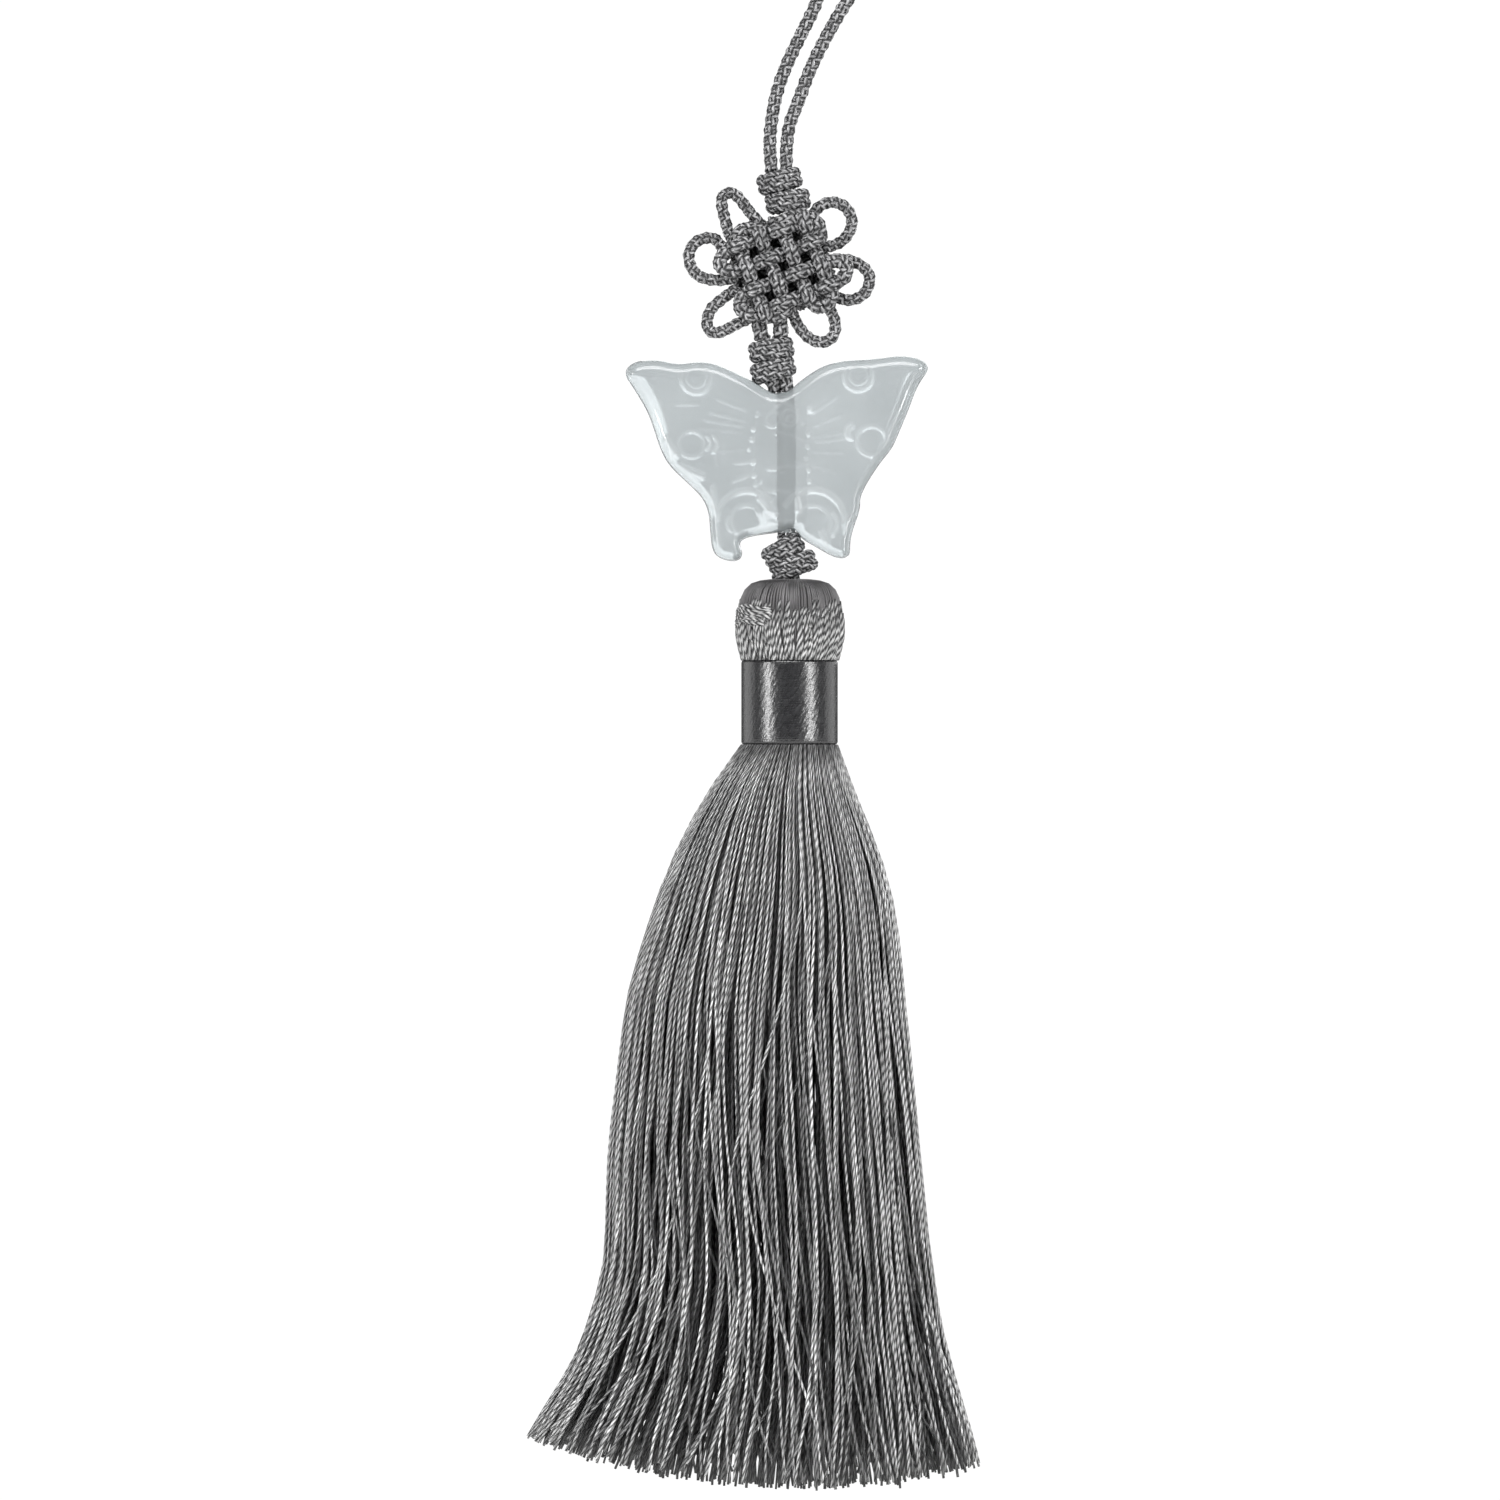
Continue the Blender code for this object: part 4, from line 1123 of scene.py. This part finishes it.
# The bead: a grid over the outline, in front and at the back, joined by rows that round its rim
def butterflyBead():
    outline = roundedOutline(np.array(bead["outline"]), bead["cornerPasses"])
    low, high = outline.min(0) - 1, outline.max(0) + 1
    across = np.arange(low[0], high[0], bead["grid"])
    upward = np.arange(low[1], high[1], bead["grid"])
    x, z = np.meshgrid(across, upward, indexing="ij")
    distance, foot = outlineDistance(np.column_stack([x.ravel(), z.ravel()]), outline)
    distance, foot = distance.reshape(x.shape), foot.reshape(*x.shape, 2)
    rim = bead["rim"]
    inner = distance > rim
    cells = inner[:-1, :-1] & inner[1:, :-1] & inner[1:, 1:] & inner[:-1, 1:]
    depth = softened(beadSection(distance, z), distance < rim + bead["softRim"], bead["softPasses"])
    lines, swell = beadRelief(x, z)
    inside = np.clip((distance - rim) / bead["reliefFade"], 0, 1)
    depth = depth + (lines + swell) * inside
    # height of the ridges, which carries a painted highlight on them
    ridgeHighlightHeight = lines * inside
    i, j = np.nonzero(cells)
    number = np.arange(x.size).reshape(x.shape)
    quads = np.stack([number[i, j], number[i + 1, j], number[i + 1, j + 1], number[i, j + 1]], 1)
    used, quads = np.unique(quads, return_inverse=True)
    quads = quads.reshape(-1, 4)
    px, pz, depth, ridgeHighlightHeight = (found.ravel()[used] for found in (x, z, depth, ridgeHighlightHeight))
    distance, foot = distance.ravel()[used], foot.reshape(-1, 2)[used]
    count = len(used)
    edges = np.stack([quads, np.roll(quads, -1, 1)], -1).reshape(-1, 2)
    key, back = edges[:, 0] * count + edges[:, 1], edges[:, 1] * count + edges[:, 0]
    border = edges[~np.isin(key, back)]
    rimPoints, borderIndex = np.unique(border, return_inverse=True)
    borderIndex = borderIndex.reshape(-1, 2)
    outward = (foot[rimPoints] - np.column_stack([px, pz])[rimPoints]) / distance[rimPoints][:, None]
    edge = foot[rimPoints] - outward * rim
    px[rimPoints], pz[rimPoints] = edge.T
    depth[rimPoints] = beadSection(rim, pz[rimPoints])
    # Rows over the rim: the distance from the outline falls with the square of the row's share
    share = np.linspace(0, 1, bead["rimRows"] + 1)[1:]
    away = rim * (1 - share) ** 2
    rowPlace = foot[rimPoints][None] - outward[None] * away[:, None, None]
    rowDepth = beadSection(away[:, None], pz[rimPoints][None])
    rims = len(rimPoints)
    pointX = np.concatenate([px, px, rowPlace[..., 0].ravel(), rowPlace[-2::-1, :, 0].ravel()])
    pointZ = np.concatenate([pz, pz, rowPlace[..., 1].ravel(), rowPlace[-2::-1, :, 1].ravel()])
    pointY = np.concatenate([-depth, depth, -rowDepth.ravel(), rowDepth[-2::-1].ravel()])
    points = place(pointX, pointZ, pointY)
    rows = 2 * len(share) - 1
    rings = np.vstack([rimPoints, 2 * count + np.arange(rows * rims).reshape(rows, rims), rimPoints + count])
    a, b = borderIndex.T
    strips = np.stack([rings[:-1, b], rings[:-1, a], rings[1:, a], rings[1:, b]], -1).reshape(-1, 4)
    faces = np.concatenate([quads, quads[:, ::-1] + count, strips])
    tube, walls = boreWall()
    faces = np.concatenate([faces, walls + len(points)])
    points = np.concatenate([points, tube])
    # The map's u is the height of the ridges, where the glass is painted lighter as a highlight on them
    ridgeHighlightHeight = np.concatenate([ridgeHighlightHeight, ridgeHighlightHeight, np.zeros(len(points) - 2 * count)])[faces.ravel()]
    maps = np.stack([ridgeHighlightHeight, ridgeHighlightHeight], 1)
    parts = points, faces, maps, np.zeros((0, 3), int), np.zeros((0, 2))
    meshObject("butterflyBead", parts, beadGlass(), ["butterfly_bead"])


def beadGlass():
    fixed = {"Transmission_Weight": 0.58, "IOR": 1.45, "Specular_IOR_Level": 0.6}
    made, shader, places, uv = newMaterial("beadGlass", **fixed)
    cloud = places.noise(bead["cloudScale"], 3.0)
    lines, _, _ = uv.split()
    raised = (lines / bead["raisedHeight"]).clamp()
    # painted highlight: the ridges are lighter, on top of the glass's own random clouding
    cloudAndRidgeLight = bead["cloud"] * cloud + bead["raised"] * raised
    connect(shader, "Base Color", cloudAndRidgeLight.colour(bead["clear"], bead["cloudAndRidgeLight"]))
    roughness = bead["roughness"] + bead["cloudRoughness"] * cloud + bead["raisedRoughness"] * raised
    connect(shader, "Roughness", roughness)
    return made


butterflyBead()

print("stage and light")
stage = {
    "half": 1.2,
    "height": -0.42,
    "colour": (0.86, 0.86, 0.85, 1),
    "roughness": 0.8,
    "shine": (0.50, 0.50, 0.495),
    "world": 0.12,
    "background": 0.92,
    "aim": (-0.012, 0.0, -0.15),
}
# place, width and height in metres, power in watts
lights = {
    "left": ((-0.95, -0.70, -0.15), (0.20, 1.0), 11.2),
    "right": ((0.92, -0.74, -0.15), (0.18, 1.0), 11.2),
    "front": ((-0.05, -0.75, 0.80), (1.0, 0.5), 14.0),
    "sideLeft": ((-1.05, 0.55, -0.10), (0.9, 1.0), 3.2),
    "sideRight": ((1.05, 0.55, -0.10), (0.9, 1.0), 3.2),
    "back": ((0.30, 1.0, 0.40), (0.9, 0.9), 5.6),
}


# 1 for what is looked at straight or through the glass, 0 for the light that the object receives
def lookedAt(tree):
    rays = Wire(tree, None).node("ShaderNodeLightPath").outputs
    return (Wire(tree, rays["Is Camera Ray"]) + Wire(tree, rays["Is Transmission Ray"])).clamp()


# The floor stays pale where the lights don't reach it, without lighting the object
def floorMaterial():
    made = bpy.data.materials.new("paleFloor")
    made.use_nodes = True
    tree = made.node_tree
    shader = tree.nodes["Principled BSDF"]
    shader.inputs["Base Color"].default_value = stage["colour"]
    shader.inputs["Roughness"].default_value = stage["roughness"]
    shader.inputs["Emission Strength"].default_value = 1.0
    connect(shader, "Emission Color", lookedAt(tree).colour((0.0, 0.0, 0.0), stage["shine"]))
    return made


def makeStage():
    data = bpy.data.meshes.new("floor")
    half, height = stage["half"], stage["height"]
    corners = [(-half, -half, height), (half, -half, height), (half, half, height), (-half, half, height)]
    data.from_pydata(corners, [], [(0, 1, 2, 3)])
    floor = bpy.data.objects.new("floor", data)
    bpy.context.scene.collection.objects.link(floor)
    data.materials.append(floorMaterial())


def areaLight(name, location, size, power):
    data = bpy.data.lights.new(name, "AREA")
    data.shape = "RECTANGLE"
    data.size, data.size_y = size
    data.energy = power
    light = bpy.data.objects.new(name, data)
    light.visible_camera = False
    x, y, z = np.array(stage["aim"]) - np.array(location)
    light.location = location
    light.rotation_euler = (math.atan2(math.hypot(x, y), -z), 0, math.atan2(y, x) - math.pi / 2)
    bpy.context.scene.collection.objects.link(light)


def makeWorld():
    world = bpy.data.worlds.new("world")
    world.use_nodes = True
    bpy.context.scene.world = world
    tree = world.node_tree
    background = tree.nodes["Background"]
    background.inputs["Color"].default_value = (1, 1, 1, 1)
    strength = stage["world"] + stage["background"] * lookedAt(tree)
    tree.links.new(strength.socket, background.inputs["Strength"])
    bpy.context.scene.view_settings.view_transform = "Standard"


makeStage()
for lightName, lightFacts in lights.items():
    areaLight(lightName, *lightFacts)
makeWorld()
